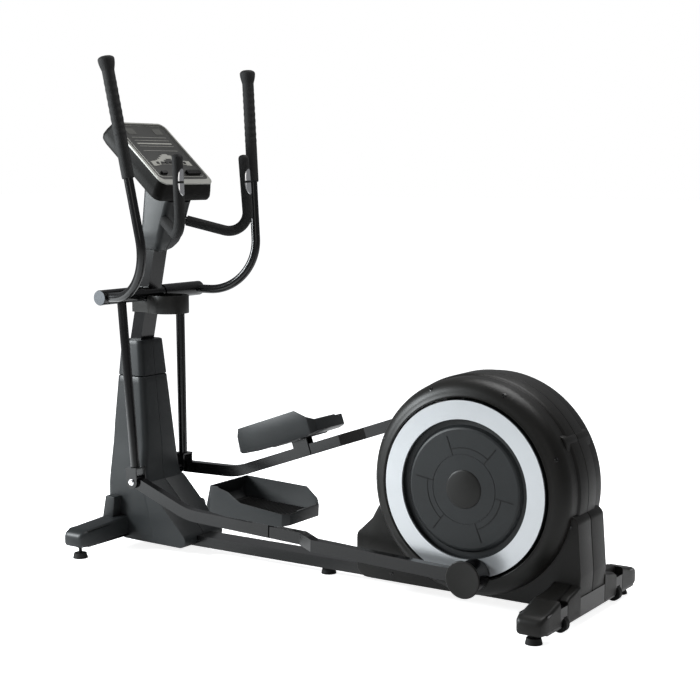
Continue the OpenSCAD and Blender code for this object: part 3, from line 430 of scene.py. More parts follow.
def side_matrix(origin, angle, side):
    """Turns (u, v, w) of an arm's frame into the model's place: u along, v up, w outward."""
    c, s = math.cos(angle), math.sin(angle)
    return Matrix(((c, -s, 0, origin.x), (0, 0, side, 0), (s, c, 0, origin.z), (0, 0, 0, 1)))


print("trees", ROW.name, RING.name)

# %% [markdown]
# ## The drive housing
# The housing is two mouldings that meet on the middle plane. Each has a round face with an opening for the
# crank disc, a block behind it and a toe in front. The round part is a profile turned about the crank's axle;
# block and toe are outlines with rounded edges. A slightly larger band runs round the middle.

# %% Housing halves
HOUSING_R, HOUSING_HALF, OPENING_R = 0.340, 0.150, 0.284
RIM, RIM_START = 0.054, 0.095  # radius of the round edge, and where it starts beside the middle plane
BAR_HALF_DEPTH = 0.045  # half of a stabilizer, front to back
rear_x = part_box("rear_stabilizer")[0].x + BAR_HALF_DEPTH


def dome_profile():
    pts = [(OPENING_R, 0.002), (OPENING_R, HOUSING_HALF - 0.010), (OPENING_R - 0.001, HOUSING_HALF - 0.002),
           (OPENING_R + 0.003, HOUSING_HALF + 0.001), (OPENING_R + 0.006, HOUSING_HALF - 0.001)]
    pts += arc(HOUSING_R - RIM, RIM_START, RIM, 76, 4, 9)
    return pts + [(HOUSING_R, 0.062), (HOUSING_R + 0.002, 0.059), (HOUSING_R + 0.005, 0.056),
                  (HOUSING_R + 0.006, 0.053), (HOUSING_R + 0.006, 0.0022), (HOUSING_R + 0.0045, SPLIT)]


def block_outline():
    return ([(crank.x, 0.046), (rear_x + 0.040, 0.046), (rear_x + 0.046, 0.150), (rear_x + 0.038, 0.250)]
            + arc(rear_x + 0.004, 0.303, 0.030, 8, 62, 4)
            + [(crank.x + 0.20, 0.40), (crank.x, 0.30)])


def neck_outline():
    return ([(rear_x - 0.06, 0.28), (rear_x + 0.004, 0.300), (rear_x + 0.004, 0.345), (rear_x + 0.001, 0.460)]
            + arc(rear_x - 0.043, 0.540, 0.030, 8, 50, 4)
            + [(crank.x + 0.200, 0.600), (crank.x + 0.10, 0.45)])


def toe_outline():
    return ([(crank.x, 0.046), (crank.x - 0.360, 0.046)] + arc(crank.x - 0.370, 0.086, 0.040, 255, 190, 4)
            + [(crank.x - 0.410, 0.172)] + arc(crank.x - 0.378, 0.176, 0.032, 170, 120, 3)
            + [(crank.x - 0.350, 0.246), (crank.x - 0.326, 0.290)]
            + arc(crank.x, crank.z, 0.312, 197, 262, 14))


BLOCK_HALF, NECK_BLOCK_HALF, TOE_HALF = 0.095, 0.084, 0.118
for side in (LEFT, RIGHT):
    bm = bmesh.new()
    add_turned(bm, dome_profile(), crank, side, 192)
    for outline, half, edge in ((block_outline(), BLOCK_HALF, 0.009),
                                (neck_outline(), NECK_BLOCK_HALF, 0.012),
                                (toe_outline(), TOE_HALF, 0.010)):
        add_prism(bm, outline, side * SPLIT, side * half, edge, 4)
    node = f"housing_{NAMES[side]}_shell"
    shell = settle(bm, node + "_skin", charcoal)
    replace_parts(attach(shell, "frame"), node)
    print(shell.name, len(shell.data.polygons), "faces")

# %% [markdown]
# ## Screws round the housing
# Small dark screws sit in round dimples on the rim. Each is one turned profile, a raised lip round a cup with
# the screw's head in it, and a loop puts one wherever the CAD has a screw hole.

# %% Screw heads and their dimples
SCREW_R, SCREW_INSET, RIM_SURFACE = 0.0052, 0.017, 0.1343
RIM_LEAN = math.radians(43.3)  # slope of the round edge where the screws sit


def screw_spots():
    """Place of each screw head, and on the round part the direction that its surface leans to."""
    for a in (22, 67, 113, 157):
        lean = Vector((math.cos(math.radians(a)), 0, math.sin(math.radians(a))))
        at = crank + lean * (HOUSING_R - SCREW_INSET)
        yield at.x, at.z, RIM_SURFACE, lean
    yield rear_x + 0.008, 0.300, BLOCK_HALF + 0.0005, None
    yield rear_x + 0.022, 0.110, BLOCK_HALF + 0.0005, None
    yield crank.x - 0.275, 0.070, TOE_HALF + 0.0005, None


for side in (LEFT, RIGHT):
    bm = bmesh.new()
    for x, z, w, lean in screw_spots():
        known = len(bm.verts)
        cup = [(0.0002, w - 0.004), (SCREW_R + 0.0022, w - 0.004), (SCREW_R + 0.0022, w + 0.0003),
               (SCREW_R + 0.0008, w + 0.0009), (SCREW_R, w), (SCREW_R * 0.55, w + 0.0004),
               (SCREW_R * 0.5, w - 0.0016), (0.0002, w - 0.0016)]
        add_turned(bm, cup, Vector((x, 0, z)), side, 20)
        if lean:
            bm.verts.ensure_lookup_table()
            axis = Vector((0, side, 0)).cross(lean)
            bmesh.ops.rotate(bm, verts=bm.verts[known:], cent=(x, side * w, z),
                             matrix=Matrix.Rotation(RIM_LEAN, 3, axis))
    screws = settle(bm, NAMES[side] + "_screw_heads", paint)
    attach(screws, "frame")
    print(screws.name)

# %% [markdown]
# ## The crank disc's raised lines
# The disc has six fine radial lines round its hub, and arcs join every second pair. The ring tree grows the
# lines in the disc's own plane, and a matrix lays them on its face, turned with the crank.

# %% Ticks and arcs
TICK_IN, TICK_OUT, ARC_R = 0.109, 0.170, 0.128
DISC_FACE = 0.1505
LINE_START = 0.18  # turn of the first line, in radians


def crank_matrix(side):
    return side_matrix(crank, pointing(crank, middle(NAMES[side] + "_crank_pin")), side)


for side in (LEFT, RIGHT):
    on_disc = crank_matrix(side) @ Matrix.Translation((0, 0, DISC_FACE - 0.0007))
    ticks = grow(NAMES[side] + "_disc_lines", RING, on_disc @ Matrix.Rotation(LINE_START, 4, "Z"), count=6,
                 radius=(TICK_IN + TICK_OUT) / 2, block=(TICK_OUT - TICK_IN, 0.0028, 0.0022),
                 material=tread_black)
    bm = bmesh.new()
    bm.from_mesh(ticks.data)
    for k in range(3):
        a0 = math.degrees(LINE_START) + 120 * k
        outline = arc(0, 0, ARC_R + 0.0013, a0, a0 + 60, 16) + arc(0, 0, ARC_R - 0.0013, a0 + 60, a0, 16)
        add_prism(bm, outline, -0.0009, 0.0011, 0, place=on_disc @ SWAP)
    lines = settle(bm, NAMES[side] + "_disc_marks", tread_black)
    bpy.data.objects.remove(ticks)
    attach(lines, "crank")
    print(lines.name)

# %% [markdown]
# ## The front tower
# The tower is a tall cover in two halves with a separate cap. Its width and depth shrink with height, so it
# is a skin over rounded sections. The outer corners are well rounded and the joint on the middle plane is
# sharp, which leaves the fine split line down the back.

# %% Tower halves and cap
FRONT_EDGE = [(0.028, -0.846), (0.070, -0.868), (0.112, -0.935), (0.262, -0.934), (0.450, -0.925),
              (0.748, -0.900)]
REAR_EDGE = [(0.028, -0.70), (0.240, -0.750), (0.270, -0.761), (0.380, -0.765), (0.748, -0.801)]
HALF_WIDTH = [(0.028, 0.104), (0.060, 0.108), (0.230, 0.108), (0.380, 0.088), (0.748, 0.066)]


def along(table, z):
    for (z0, v0), (z1, v1) in zip(table, table[1:]):
        if z <= z1:
            return v0 + (v1 - v0) * max(0, z - z0) / (z1 - z0)
    return table[-1][1]


def half_section(side, z, inset):
    x0, x1 = along(FRONT_EDGE, z) + inset, along(REAR_EDGE, z) - inset
    half = along(HALF_WIDTH, z) - inset
    big, small = 0.022, 0.0012  # radii of the outer corners and of the split line
    pts = [(x0 + small, SPLIT)]
    pts += arc(x0 + big, half - big, big, 180, 90, 6) + arc(x1 - big, half - big, big, 90, 0, 6)
    pts += [(x1, 0.0016), (x1 - small, SPLIT)]
    return [Vector((x, side * y, z)) for x, y in pts]


def column(bm, side, z0, z1, steps):
    levels = [(z0, 0.0022), (z0 + 0.0015, 0.0)]
    levels += [(z0 + (z1 - z0) * k / steps, 0.0) for k in range(1, steps)]
    levels += [(z1 - 0.004, 0.0), (z1 - 0.0012, 0.0012), (z1, 0.004)]
    add_loft(bm, [half_section(side, z, inset) for z, inset in levels])


SEAM_Z = 0.620
toe_end = ([(-0.86, 0.032), (-0.600, 0.028)] + arc(-0.600, 0.054, 0.026, -80, 45, 6)
           + [(-0.749, 0.243), (-0.80, 0.27)])
for side in (LEFT, RIGHT):
    bm = bmesh.new()
    column(bm, side, 0.030, SEAM_Z - 0.001, 24)
    add_prism(bm, toe_end, side * SPLIT, side * 0.1065, 0.024, 6)
    node = f"tower_{NAMES[side]}_shell"
    skin = settle(bm, node + "_skin", slate)
    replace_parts(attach(skin, "frame"), node)
bm = bmesh.new()
for side in (LEFT, RIGHT):
    column(bm, side, SEAM_Z + 0.001, 0.748, 8)
cap = settle(bm, "tower_cap_skin", slate)
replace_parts(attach(cap, "frame"), "tower_cap")
print("tower", cap.name)

# %% [markdown]
# ## The mast's neck cover
# Under the console the mast wears a two-part cover. Seen from behind its lower end is a half circle. It is a
# skin over sections again, then a plane cuts it off where the console's underside sits.

# %% Neck halves
CONSOLE_AT, CONSOLE_TILT = Vector((-0.740, 0, 1.413)), math.radians(42)
CONSOLE_T = 0.074
face_out = Vector((math.sin(CONSOLE_TILT), 0, math.cos(CONSOLE_TILT)))
face_down = Vector((math.cos(CONSOLE_TILT), 0, -math.sin(CONSOLE_TILT)))
NECK_FRONT = [(1.060, -0.790), (1.070, -0.805), (1.300, -0.778), (1.40, -0.73)]
NECK_REAR = [(1.060, -0.765), (1.074, -0.732), (1.098, -0.712), (1.130, -0.700), (1.236, -0.664),
             (1.290, -0.636), (1.40, -0.62)]
NECK_HALF, NECK_Z = 0.066, 1.061


def neck_section(side, z):
    drop = max(0.0, NECK_Z + NECK_HALF - z)
    half = math.sqrt(max(NECK_HALF ** 2 - drop ** 2, 0.004 ** 2))
    x0, x1 = along(NECK_FRONT, z), along(NECK_REAR, z)
    big = min(0.020, half * 0.6, (x1 - x0) * 0.45)
    pts = [(x0 + 0.001, SPLIT)] + arc(x0 + big, half - big, big, 180, 90, 6)
    pts += arc(x1 - big, half - big, big, 90, 0, 6) + [(x1, 0.0016), (x1 - 0.001, SPLIT)]
    return [Vector((x, side * y, z)) for x, y in pts]


for side in (LEFT, RIGHT):
    bm = bmesh.new()
    levels = [NECK_Z + NECK_HALF * (1 - math.cos(math.radians(a))) for a in range(4, 90, 9)]
    levels += [1.14 + 0.01 * k for k in range(27)]
    add_loft(bm, [neck_section(side, z) for z in levels])
    cut = bmesh.ops.bisect_plane(bm, geom=bm.verts[:] + bm.edges[:] + bm.faces[:],
                                 plane_co=CONSOLE_AT - face_out * (CONSOLE_T + 0.002), plane_no=face_out,
                                 clear_outer=True)
    bmesh.ops.holes_fill(bm, edges=[e for e in cut["geom_cut"] if isinstance(e, bmesh.types.BMEdge)])
    node = f"neck_{NAMES[side]}_cover"
    skin = settle(bm, node + "_skin", slate)
    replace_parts(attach(skin, "frame"), node)
    print(skin.name)

# %% [markdown]
# ## The console
# The console is a deep tray with a tilted face. Its back is laid over rounded rectangles that swell towards
# the chin and close under it. The face carries a pale bezel, a fine inner outline, two small windows, rules
# for readouts, a hill-shaped profile and a few keys: plain shapes with no lettering.

# %% Console helpers


def on_face(u, v, n):
    """u runs down the face to the user, v to the right, n out of the face."""
    return CONSOLE_AT + face_down * u + Vector((0, v, 0)) + face_out * n


FACE = Matrix(((face_down.x, 0, face_out.x, CONSOLE_AT.x), (0, 1, 0, 0),
               (face_down.z, 0, face_out.z, CONSOLE_AT.z), (0, 0, 0, 1)))
FACE_PRISM = FACE @ SWAP
CON_U, CON_V = 0.160, 0.142


def face_plan(u0, u1, half, r):
    return rounded(u0, u1, -half, half, r, 6)


print("face tilted", round(math.degrees(CONSOLE_TILT)), "degrees")


# %% [markdown]
# The back and the frames round the face all come from rounded rectangles in the face's own plane.

# %% Console back, bezel and face
bm = bmesh.new()
levels = [(-0.0055, 0.0, 0.0, 0.0), (-0.012, 0.001, 0.003, 0.001), (-0.032, 0.002, 0.013, 0.007),
          (-0.050, 0.001, 0.021, 0.011), (-0.061, -0.003, 0.021, 0.009), (-0.069, -0.012, 0.012, 0.0),
          (-CONSOLE_T, -0.026, -0.004, -0.018)]
add_loft(bm, [[on_face(u, v, n) for u, v in face_plan(-CON_U - up, CON_U + down, CON_V + wide, 0.030)]
              for n, up, down, wide in levels])
back = settle(bm, "console_back_skin", console_black)
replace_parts(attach(back, "frame"), "console_back")


def frame_piece(bm, outer, inner, n0, n1):
    """Closed ring between two outlines of equal count."""
    rows = [[bm.verts.new(on_face(u, v, n)) for u, v in plan]
            for plan, n in ((outer, n0), (outer, n1 - 0.001), (inner, n1), (inner, n0))]
    count = len(outer)
    for a, b in zip(rows, rows[1:] + rows[:1]):
        for k in range(count):
            bm.faces.new((a[k], b[k], b[(k + 1) % count], a[(k + 1) % count]))


opening = face_plan(-CON_U + 0.008, CON_U - 0.022, CON_V - 0.010, 0.022)
bm = bmesh.new()
frame_piece(bm, face_plan(-CON_U, CON_U, CON_V, 0.030), opening, -0.005, 0.0005)
bezel = settle(bm, "console_bezel_skin", silver)
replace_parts(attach(bezel, "frame"), "console_bezel")
bm = bmesh.new()
frame_piece(bm, face_plan(-CON_U + 0.016, CON_U - 0.036, CON_V - 0.020, 0.018),
            face_plan(-CON_U + 0.0180, CON_U - 0.0380, CON_V - 0.0220, 0.0160), -0.003, 0.0)
outline = settle(bm, "console_inner_outline", silver)
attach(outline, "frame")
bm = bmesh.new()
add_prism(bm, opening, -0.006, -0.0012, 0, place=FACE_PRISM)
panel = settle(bm, "console_face_skin", face_black)
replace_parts(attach(panel, "frame"), "console_face")
print("console", back.name, bezel.name, panel.name)

# %% [markdown]
# The printed marks are thin slabs sunk in the film, so they cast no shadow. The hill profile is a row of
# slabs whose heights follow a bell curve, and the row tree makes the keys and the ledge's ribs.

# %% Readouts, hill profile and keys


def slab(bm, u0, u1, v0, v1):
    add_prism(bm, [(u0, v0), (u1, v0), (u1, v1), (u0, v1)], -0.0015, -0.0004, 0, place=FACE_PRISM)


bm = bmesh.new()
for u, thick in ((-0.082, 0.0016), (-0.066, 0.0016), (-0.052, 0.0060), (-0.036, 0.0016), (-0.012, 0.0016)):
    slab(bm, u, u + thick, -0.092, 0.092)
HILL_STEPS, HILL_WIDTH = 14, 0.208
for k in range(HILL_STEPS):
    v = HILL_WIDTH * (k / HILL_STEPS - 0.5)
    v_end = v + HILL_WIDTH / HILL_STEPS + 0.0001
    height = 0.014 + 0.038 * math.exp(-((k - 6.5) / 3.4) ** 2)
    slab(bm, 0.058 - height, 0.058 - height + 0.024, v, v_end)
    slab(bm, 0.0575, 0.0590, v, v_end)
marks = settle(bm, "console_printed_marks", print_grey)
bm = bmesh.new()
for v in (-0.094, 0.050):
    slab(bm, -0.128, -0.098, v, v + 0.044)
windows = settle(bm, "console_windows", window_grey)
keys = grow("console_keys", ROW, FACE, count=7, start=(0.052, -0.072, 0.0), step=(0, 0.024, 0),
            block=(0.010, 0.012, 0.0022), material=tread_black)
for piece in (marks, windows, keys):
    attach(piece, "frame")
bm = bmesh.new()
add_prism(bm, rounded(0.098, 0.116, 0.030, 0.104, 0.004), -0.002, 0.010, 0.002, place=FACE_PRISM)
add_prism(bm, rounded(0.100, 0.112, -0.104, -0.074, 0.003), -0.002, 0.008, 0.002, place=FACE_PRISM)
rest = settle(bm, "console_ledge", tread_black)
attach(rest, "frame")
ribs = grow("console_ledge_ribs", ROW, FACE, count=9, start=(0.107, 0.035, 0.0105), step=(0, 0.008, 0),
            block=(0.014, 0.003, 0.002), material=tread_black)
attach(ribs, "frame")
print("console details", marks.name, windows.name, keys.name, rest.name)

# %% [markdown]
# ## Foam grips
# Foam is sleeved over the tubes. The fixed grips follow a bend and end in a dome; the swinging grips are
# straight, thicken into a knob and have shallow finger ridges. Both are a circle swept along a path whose
# radius changes, so one helper makes them all.

# %% Sweep a circle along a path


def sweep(bm, path, radius, steps=40):
    """radius(distance) along the path, whose points are dense enough to follow its bends."""
    last = len(path) - 1
    tangents = [(path[min(i + 1, last)] - path[max(i - 1, 0)]).normalized() for i in range(last + 1)]
    normal = tangents[0].orthogonal().normalized()
    travelled, sections = 0.0, []
    for i, (p, t) in enumerate(zip(path, tangents)):
        normal = (normal - t * normal.dot(t)).normalized()
        across = t.cross(normal)
        if i:
            travelled += (p - path[i - 1]).length
        r = radius(travelled)
        sections.append([p + r * (math.cos(a) * normal + math.sin(a) * across)
                         for a in (2 * math.pi * k / steps for k in range(steps))])
    add_loft(bm, sections)


def straight(a, b, gap):
    n = max(2, int((b - a).length / gap))
    return [a + (b - a) * k / n for k in range(n + 1)]


def bent(a, corner, b, r, gap):
    """Path a to b through a rounded corner."""
    d, f = (corner - a).normalized(), (b - corner).normalized()
    turn = d.angle(f)
    cut = r * math.tan(turn / 2)
    start, inward = corner - d * cut, (f - d * d.dot(f)).normalized()
    centre = start + inward * r
    n = max(4, int(turn * r / gap))
    curve = [centre + r * (-inward * math.cos(turn * k / n) + d * math.sin(turn * k / n))
             for k in range(n + 1)]
    return straight(a, start, gap)[:-1] + curve + straight(curve[-1], b, gap)[1:]


print("sweep ready")


# %% [markdown]
# Each fixed grip starts beside the neck, follows the bar round its bend and ends in a small dome.

# %% Fixed grips
BAR_FOAM_R, BAR_BEND, BAR_HALF = 0.0185, 0.066, 0.183
FOAM_START, FOAM_DOME = 0.92, 0.012  # share of the way to the neck, and length of the domed end


def bar_corners(side):
    return [Vector((-0.523, side * BAR_HALF, 1.400)), Vector((-0.505, side * (BAR_HALF + 0.008), 1.116)),
            Vector((-0.700, side * 0.048, 1.180))]


for side in (LEFT, RIGHT):
    top, corner, root = bar_corners(side)
    start = corner + (root - corner) * FOAM_START
    rise = (top - corner).normalized()
    path = bent(start, corner, top + rise * 0.007, BAR_BEND, 0.006)
    length = sum((b - a).length for a, b in zip(path, path[1:]))
    path = path[:-1] + [path[-1] - rise * 0.006 * (1 - k / 8) for k in range(1, 9)]

    def bar_radius(s, length=length):
        left_over = length - s
        if left_over < FOAM_DOME:
            return BAR_FOAM_R * math.sqrt(max(0.02, 1 - ((FOAM_DOME - left_over) / 0.0121) ** 2))
        return BAR_FOAM_R

    bm = bmesh.new()
    sweep(bm, path, bar_radius)
    grip = settle(bm, NAMES[side] + "_bar_foam_skin", foam)
    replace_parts(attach(grip, "frame"), NAMES[side] + "_bar_foam")
    print(grip.name, "length", round(length, 3))

# %% [markdown]
# ## Pulse plates
# Two bright half-ovals are let into each fixed grip, with a dark band between them. Each is a curved patch
# that hugs the foam: its half-angle follows an ellipse, so the outline closes in a point at either end.

# %% Lens-shaped plates
PLATE_MID, PLATE_REACH, PLATE_GAP, PLATE_ANGLE = 0.1955, 0.045, 0.0038, 58

bm = bmesh.new()
for side in (LEFT, RIGHT):
    top, corner, root = bar_corners(side)
    up = (top - corner).normalized()
    back_dir = (Vector((1, 0, 0)) - up * up.x).normalized()
    across = up.cross(back_dir)
    for way in (-1, 1):
        rows = []
        for k in range(11):
            t = PLATE_GAP + (PLATE_REACH - PLATE_GAP) * k / 10
            wide = math.radians(PLATE_ANGLE) * math.sqrt(max(0.004, 1 - (t / (PLATE_REACH + 0.0004)) ** 2))
            row = []
            for level, sign in ((0.0010, 1), (-0.0006, -1)):
                for j in range(11):
                    a = sign * wide * (j / 5 - 1)
                    r = BAR_FOAM_R + (level if 0 < j < 10 or level < 0 else 0.0002)
                    row.append(corner + up * (PLATE_MID + way * t) + r * (math.cos(a) * back_dir
                                                                        + math.sin(a) * across))
            rows.append(row)
        add_loft(bm, rows)
plates = settle(bm, "pulse_plate_skins", chrome)
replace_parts(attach(plates, "frame"), "pulse_plates")
print(plates.name)

# %% [markdown]
# ## Swinging grips
# The foam on each moving handle is long, with nearly flat finger ridges and a knob at the top. The tube
# leans outward, so the path runs between two points of the arm's own frame.

# %% Swinging grips
GRIP_L, GRIP_R, KNOB_R = 0.398, 0.021, 0.028


def swing_grip_radius(s):
    if s < 0.004:
        return GRIP_R - 0.0015 + 0.0015 * s / 0.004
    if s > GRIP_L - 0.040:
        t = min(1.0, (s - GRIP_L + 0.040) / 0.050)
        swell = GRIP_R + (KNOB_R - GRIP_R) * math.sin(min(1.0, t * 1.35) * math.pi / 2)
        end = max(0.0, (t - 0.72) / 0.28)
        return swell * math.sqrt(max(0.01, 1 - end ** 2.4))
    return GRIP_R + 0.0005 * math.sin(2 * math.pi * s / 0.024) * (1 if 0.14 < s < 0.33 else 0)


for side in (LEFT, RIGHT):
    corner, top = on_swing(side, 0.256, -0.006, 0.300), on_swing(side, 0.256 - 0.070, 0.788, 0.345)
    up = (top - corner).normalized()
    path = straight(top - up * GRIP_L, top + up * 0.010, 0.0025)
    bm = bmesh.new()
    sweep(bm, path, swing_grip_radius)
    grip = settle(bm, NAMES[side] + "_grip_skin", foam)
    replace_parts(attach(grip, NAMES[side] + "_handle_arm"), NAMES[side] + "_grip")
    print(grip.name)

# %% [markdown]
# ## Pedals
# A pedal is a wide tray: high walls at the toe and on the inner side, a low wall outside, clipped corners at
# the heel and a ribbed black tread. Its shell follows the CAD outline, and the row tree grows the ribs.

# %% Pedal shells
PEDAL_FRONT, PEDAL_REAR, PEDAL_IN, PEDAL_OUT = 0.114, 0.470, 0.038, 0.242
PEDAL_FLOOR = 0.066


def soften(node, width, material, body):
    """A CAD moulding with its edges rounded a little."""
    bm = bmesh.new()
    bm.from_mesh(frame["nodes"][node].data)
    bmesh.ops.remove_doubles(bm, verts=bm.verts, dist=1e-6)
    bmesh.ops.dissolve_limit(bm, angle_limit=math.radians(0.6), verts=bm.verts, edges=bm.edges)
    hard = [e for e in bm.edges if len(e.link_faces) == 2 and e.calc_face_angle(0) > math.radians(28)
            and e.calc_length() > 3 * width]
    bmesh.ops.bevel(bm, geom=hard, offset=width, segments=2, profile=0.5, affect="EDGES", clamp_overlap=False)
    bmesh.ops.triangulate(bm, faces=[f for f in bm.faces if len(f.verts) > 4])
    piece = settle(bm, node + "_skin", material)
    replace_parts(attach(piece, body), node)
    return piece


for side in (LEFT, RIGHT):
    body = NAMES[side] + "_foot_arm"
    shell = soften(NAMES[side] + "_pedal", 0.0012, slate, body)
    start, angle = run_frame(side)
    lay = side_matrix(start, angle, side)
    bm = bmesh.new()
    plan = [(PEDAL_FRONT + 0.045, PEDAL_IN + 0.030), (PEDAL_FRONT + 0.060, PEDAL_IN + 0.008),
            (PEDAL_REAR - 0.024, PEDAL_IN + 0.008), (PEDAL_REAR - 0.006, PEDAL_IN + 0.026),
            (PEDAL_REAR - 0.006, PEDAL_OUT - 0.026), (PEDAL_REAR - 0.024, PEDAL_OUT - 0.008),
            (PEDAL_FRONT + 0.060, PEDAL_OUT - 0.008), (PEDAL_FRONT + 0.045, PEDAL_OUT - 0.030)]
    add_prism(bm, plan, PEDAL_FLOOR - 0.001, PEDAL_FLOOR + 0.003, 0.001, 2, place=lay)
    mat = settle(bm, NAMES[side] + "_pedal_mat", tread_black)
    ribs = grow(NAMES[side] + "_pedal_ribs", ROW, lay, count=25,
                start=(PEDAL_FRONT + 0.072, PEDAL_FLOOR + 0.004, (PEDAL_IN + PEDAL_OUT) / 2),
                step=(0.0108, 0, 0), block=(0.004, 0.003, PEDAL_OUT - PEDAL_IN - 0.030),
                material=tread_black)
    bm = bmesh.new()
    rim = [(PEDAL_REAR - 0.150, PEDAL_OUT - 0.0005), (PEDAL_REAR - 0.020, PEDAL_OUT - 0.0005),
           (PEDAL_REAR - 0.0005, PEDAL_OUT - 0.020), (PEDAL_REAR - 0.0005, PEDAL_IN + 0.020),
           (PEDAL_REAR - 0.020, PEDAL_IN + 0.0005)]
    for a, b in zip(rim, rim[1:]):
        along_rim = Vector((b[0] - a[0], b[1] - a[1], 0))
        inward = Vector((along_rim.y, -along_rim.x, 0)).normalized() * 0.0075
        quad = [a, b, (b[0] + inward.x, b[1] + inward.y), (a[0] + inward.x, a[1] + inward.y)]
        add_prism(bm, quad, 0.0665, 0.0905, 0.0015, 2, place=lay)
    lip = settle(bm, NAMES[side] + "_pedal_lip", tread_black)
    for piece in (mat, ribs, lip):
        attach(piece, body)
    print(shell.name, mat.name, ribs.name, lip.name)

# %% [markdown]
# ## Caps over the crank pins
# A round cap closes each bearing housing on the outside. Its edge is well rounded and its middle is slightly
# dished, so it is a profile turned about the crank pin.

# %% Crank caps
for side in (LEFT, RIGHT):
    node = NAMES[side] + "_crank_cap"
    low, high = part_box(node)
    w0, w1 = sorted((abs(low.y), abs(high.y)))
    r = (high.x - low.x) / 2
    bm = bmesh.new()
    add_turned(bm, [(0.0003, w0), (r - 0.0015, w0)] + [(r - 0.004 + 0.004 * math.cos(math.radians(a)),
                                                        w1 - 0.004 + 0.004 * math.sin(math.radians(a)))
                                                       for a in range(0, 91, 15)]
               + [(r - 0.010, w1 - 0.0012), (0.0003, w1 - 0.0022)], middle(node), side, 96)
    lid = settle(bm, node + "_skin", charcoal)
    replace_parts(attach(lid, NAMES[side] + "_foot_arm"), node)
    print(lid.name)

# %% [markdown]
# ## Small mouldings that keep their CAD shape
# The bottle tray and the hub caps are right as they are, but real mouldings have no knife edges. A copy of
# each mesh gets narrow rounded edges.

# %% Softened mouldings
soften("bottle_holder", 0.0012, charcoal, "frame")
soften("hub_caps", 0.0010, charcoal, "crank")
print("softened")

# %% [markdown]
# ## Stabilizer covers
# Each stabilizer is a steel box tube with a moulded cap at either end. The caps are not plain boxes: their
# ends lean in and the corners are round. From the cap inward the cover's top climbs a little to meet the body
# of the machine, so a skin over rounded sections along Y gives both.

# %% Covers over both stabilizers
COVER_END, SKIN = 0.350, 0.0006  # where a cover ends, and how far it stands off the tube


def stabilizer_cover(name, x0, x1, z0, z1, rise, inner_y, material):
    bm = bmesh.new()
    for side in (LEFT, RIGHT):
        spots = [(inner_y, rise, 0.0), (0.300, 0.002, 0.0), (0.322, 0.0, 0.0),
                 (COVER_END - 0.012, -0.006, 0.003), (COVER_END - 0.004, -0.013, 0.007),
                 (COVER_END, -0.022, 0.014)]
        sections = []
        for y, up, inset in spots:
            plan = rounded(x0 - SKIN + inset, x1 + SKIN - inset, z0 - SKIN + inset * 0.5, z1 + SKIN + up,
                           0.012, 5)
            sections.append([Vector((x, side * y, z)) for x, z in plan])
        add_loft(bm, sections)
    cover = settle(bm, name, material)
    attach(cover, "frame")
    print(cover.name)
    return cover


front_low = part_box("front_stabilizer")[0]
cover = stabilizer_cover("front_covers", front_low.x, front_low.x + 2 * BAR_HALF_DEPTH, front_low.z,
                         front_low.z + 0.058, 0.013, 0.105, slate)
stabilizer_cover("rear_covers", rear_x - BAR_HALF_DEPTH, rear_x + BAR_HALF_DEPTH, 0.030, 0.088, 0.022,
                 0.228, charcoal)
bm = bmesh.new()
for side in (LEFT, RIGHT):
    wedge = [(-0.045, 0.0), (0.006, 0.0), (0.015, 0.085), (-0.027, 0.087)]
    plan = [(front_low.x + BAR_HALF_DEPTH + x, front_low.z + 0.0585 + z) for x, z in wedge]
    add_prism(bm, plan, side * 0.106, side * 0.147, 0.004, 2)
gussets = settle(bm, "gusset_covers", slate)
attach(gussets, "frame")
# A deck lies on top of each side. The sleeve beside the body closes round the tube, short of the wheel
DECK = ((0.090, 0.040), (0.120, 0.030), (0.165, 0.024), (0.2285, 0.0222))
SLEEVE = ((0.090, 0.036), (0.120, 0.027), (0.165, 0.019), (0.178, 0.010))
bm = bmesh.new()
for side in (LEFT, RIGHT):
    for spots, x0, x1, z0 in ((DECK, rear_x - 0.0450, rear_x + 0.020, 0.0885),
                              (SLEEVE, rear_x - 0.0457, rear_x + 0.0457, 0.0293)):
        sections = []
        for y, up in spots:
            plan = rounded(x0, x1, z0, 0.0886 + up, 0.008, 4)
            sections.append([Vector((x, side * y, z)) for x, z in plan])
        add_loft(bm, sections)
deck = settle(bm, "rear_cover_decks", charcoal)
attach(deck, "frame")
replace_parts(cover, "stabilizer_caps")

# %% [markdown]
# ## Floor, light and camera
# A pale floor and a pale world stand in for a paper backdrop. Both show white to the camera but light the
# room only a little, so dark mouldings keep their shadows. The key light stands near the front left, like a
# window: the covers' left faces turn blue-grey, their rear faces stay dark, and its light falls off towards
# the housing.
# A weak light behind the camera fills, and one above draws a line of light on the top edges.

# %% Floor
floor_mesh = bpy.data.meshes.new("floor")
reach = 60.0
floor_mesh.from_pydata([(-reach, -reach, -0.0005), (reach, -reach, -0.0005), (reach, reach, -0.0005),
                        (-reach, reach, -0.0005)], [], [(0, 1, 2, 3)])
floor = bpy.data.objects.new("floor", floor_mesh)
bpy.context.collection.objects.link(floor)
floor_mesh.materials.append(finish("paper_floor", (0.93, 0.93, 0.93), 0.9, grain=30, depth=0.01, mottle=0.01,
                                   shine=0.1))
paper_tree = floor_mesh.materials[0].node_tree
paper_shader = paper_tree.nodes["Principled BSDF"]
paper_shader.inputs["Emission Color"].default_value = (1, 1, 1, 1)
seen = paper_tree.nodes.new("ShaderNodeLightPath")
glow = paper_tree.nodes.new("ShaderNodeMapRange")
glow.inputs["To Min"].default_value = 0.10
glow.inputs["To Max"].default_value = 0.85
paper_tree.links.new(seen.outputs["Is Camera Ray"], glow.inputs["Value"])
paper_tree.links.new(glow.outputs["Result"], paper_shader.inputs["Emission Strength"])
print("floor", floor.name)

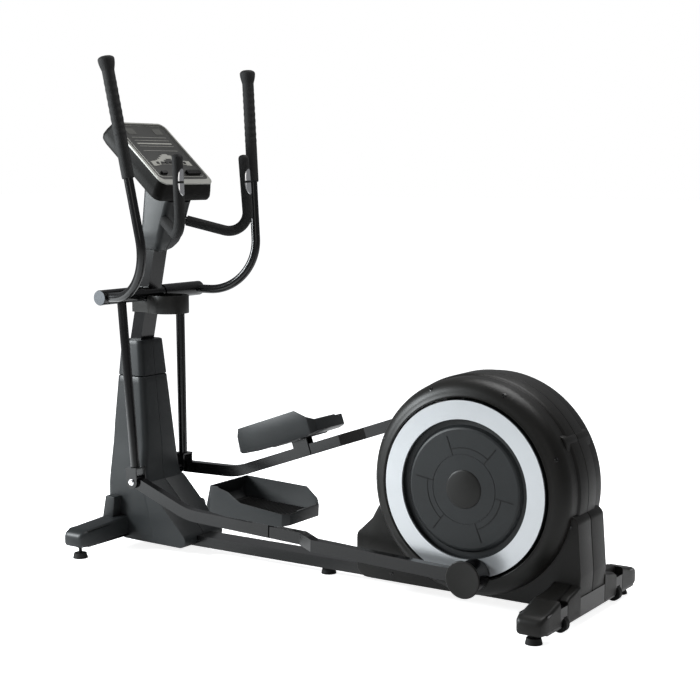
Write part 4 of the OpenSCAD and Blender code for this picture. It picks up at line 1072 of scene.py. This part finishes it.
# %% World
world = bpy.data.worlds.new("studio")
bpy.context.scene.world = world
world.use_nodes = True
paper = world.node_tree.nodes["Background"]
paper.inputs["Color"].default_value = (1, 1, 1, 1)
paper.inputs["Strength"].default_value = 1.0
room = world.node_tree.nodes.new("ShaderNodeBackground")
room.inputs["Color"].default_value = (0.95, 0.97, 1.0, 1)
room.inputs["Strength"].default_value = 0.24
path = world.node_tree.nodes.new("ShaderNodeLightPath")
choose = world.node_tree.nodes.new("ShaderNodeMixShader")
world.node_tree.links.new(path.outputs["Is Camera Ray"], choose.inputs["Fac"])
world.node_tree.links.new(room.outputs["Background"], choose.inputs[1])
world.node_tree.links.new(paper.outputs["Background"], choose.inputs[2])
world.node_tree.links.new(choose.outputs["Shader"], world.node_tree.nodes["World Output"].inputs["Surface"])


# %% Lights
def soft_light(name, at, target, size, power, colour=(1, 1, 1)):
    data = bpy.data.lights.new(name, "AREA")
    data.shape, data.size, data.energy, data.color = "SQUARE", size, power, colour
    lamp = bpy.data.objects.new(name, data)
    bpy.context.collection.objects.link(lamp)
    lamp.location = at
    lamp.rotation_euler = (Vector(target) - Vector(at)).to_track_quat("-Z", "Y").to_euler()


soft_light("key", (-3.0, -2.2, 1.9), (-0.5, -0.1, 0.6), 1.4, 290, (0.93, 0.98, 1.0))
soft_light("fill", (3.6, -4.6, 2.4), (0, 0, 0.6), 2.0, 20, (1.0, 0.98, 0.94))
soft_light("top", (0.6, 0.9, 3.8), (0, 0, 0.5), 2.4, 130)
print("lights", len(bpy.data.lights))

# %% Camera
camera_data = bpy.data.cameras.new("camera")
camera_data.sensor_width, camera_data.lens = 36.0, 76.62
camera = bpy.data.objects.new("camera", camera_data)
bpy.context.collection.objects.link(camera)
CAMERA_DOWN, CAMERA_TURN = 6.8575, 33.0977  # degrees below the horizon, and round from the -Y axis
camera.location = (2.7065, -4.0782, 1.35)
camera.rotation_euler = (math.radians(90 - CAMERA_DOWN), 0, math.radians(CAMERA_TURN))
bpy.context.scene.camera = camera
bpy.context.scene.view_settings.view_transform = "Standard"
print("camera", camera.name)
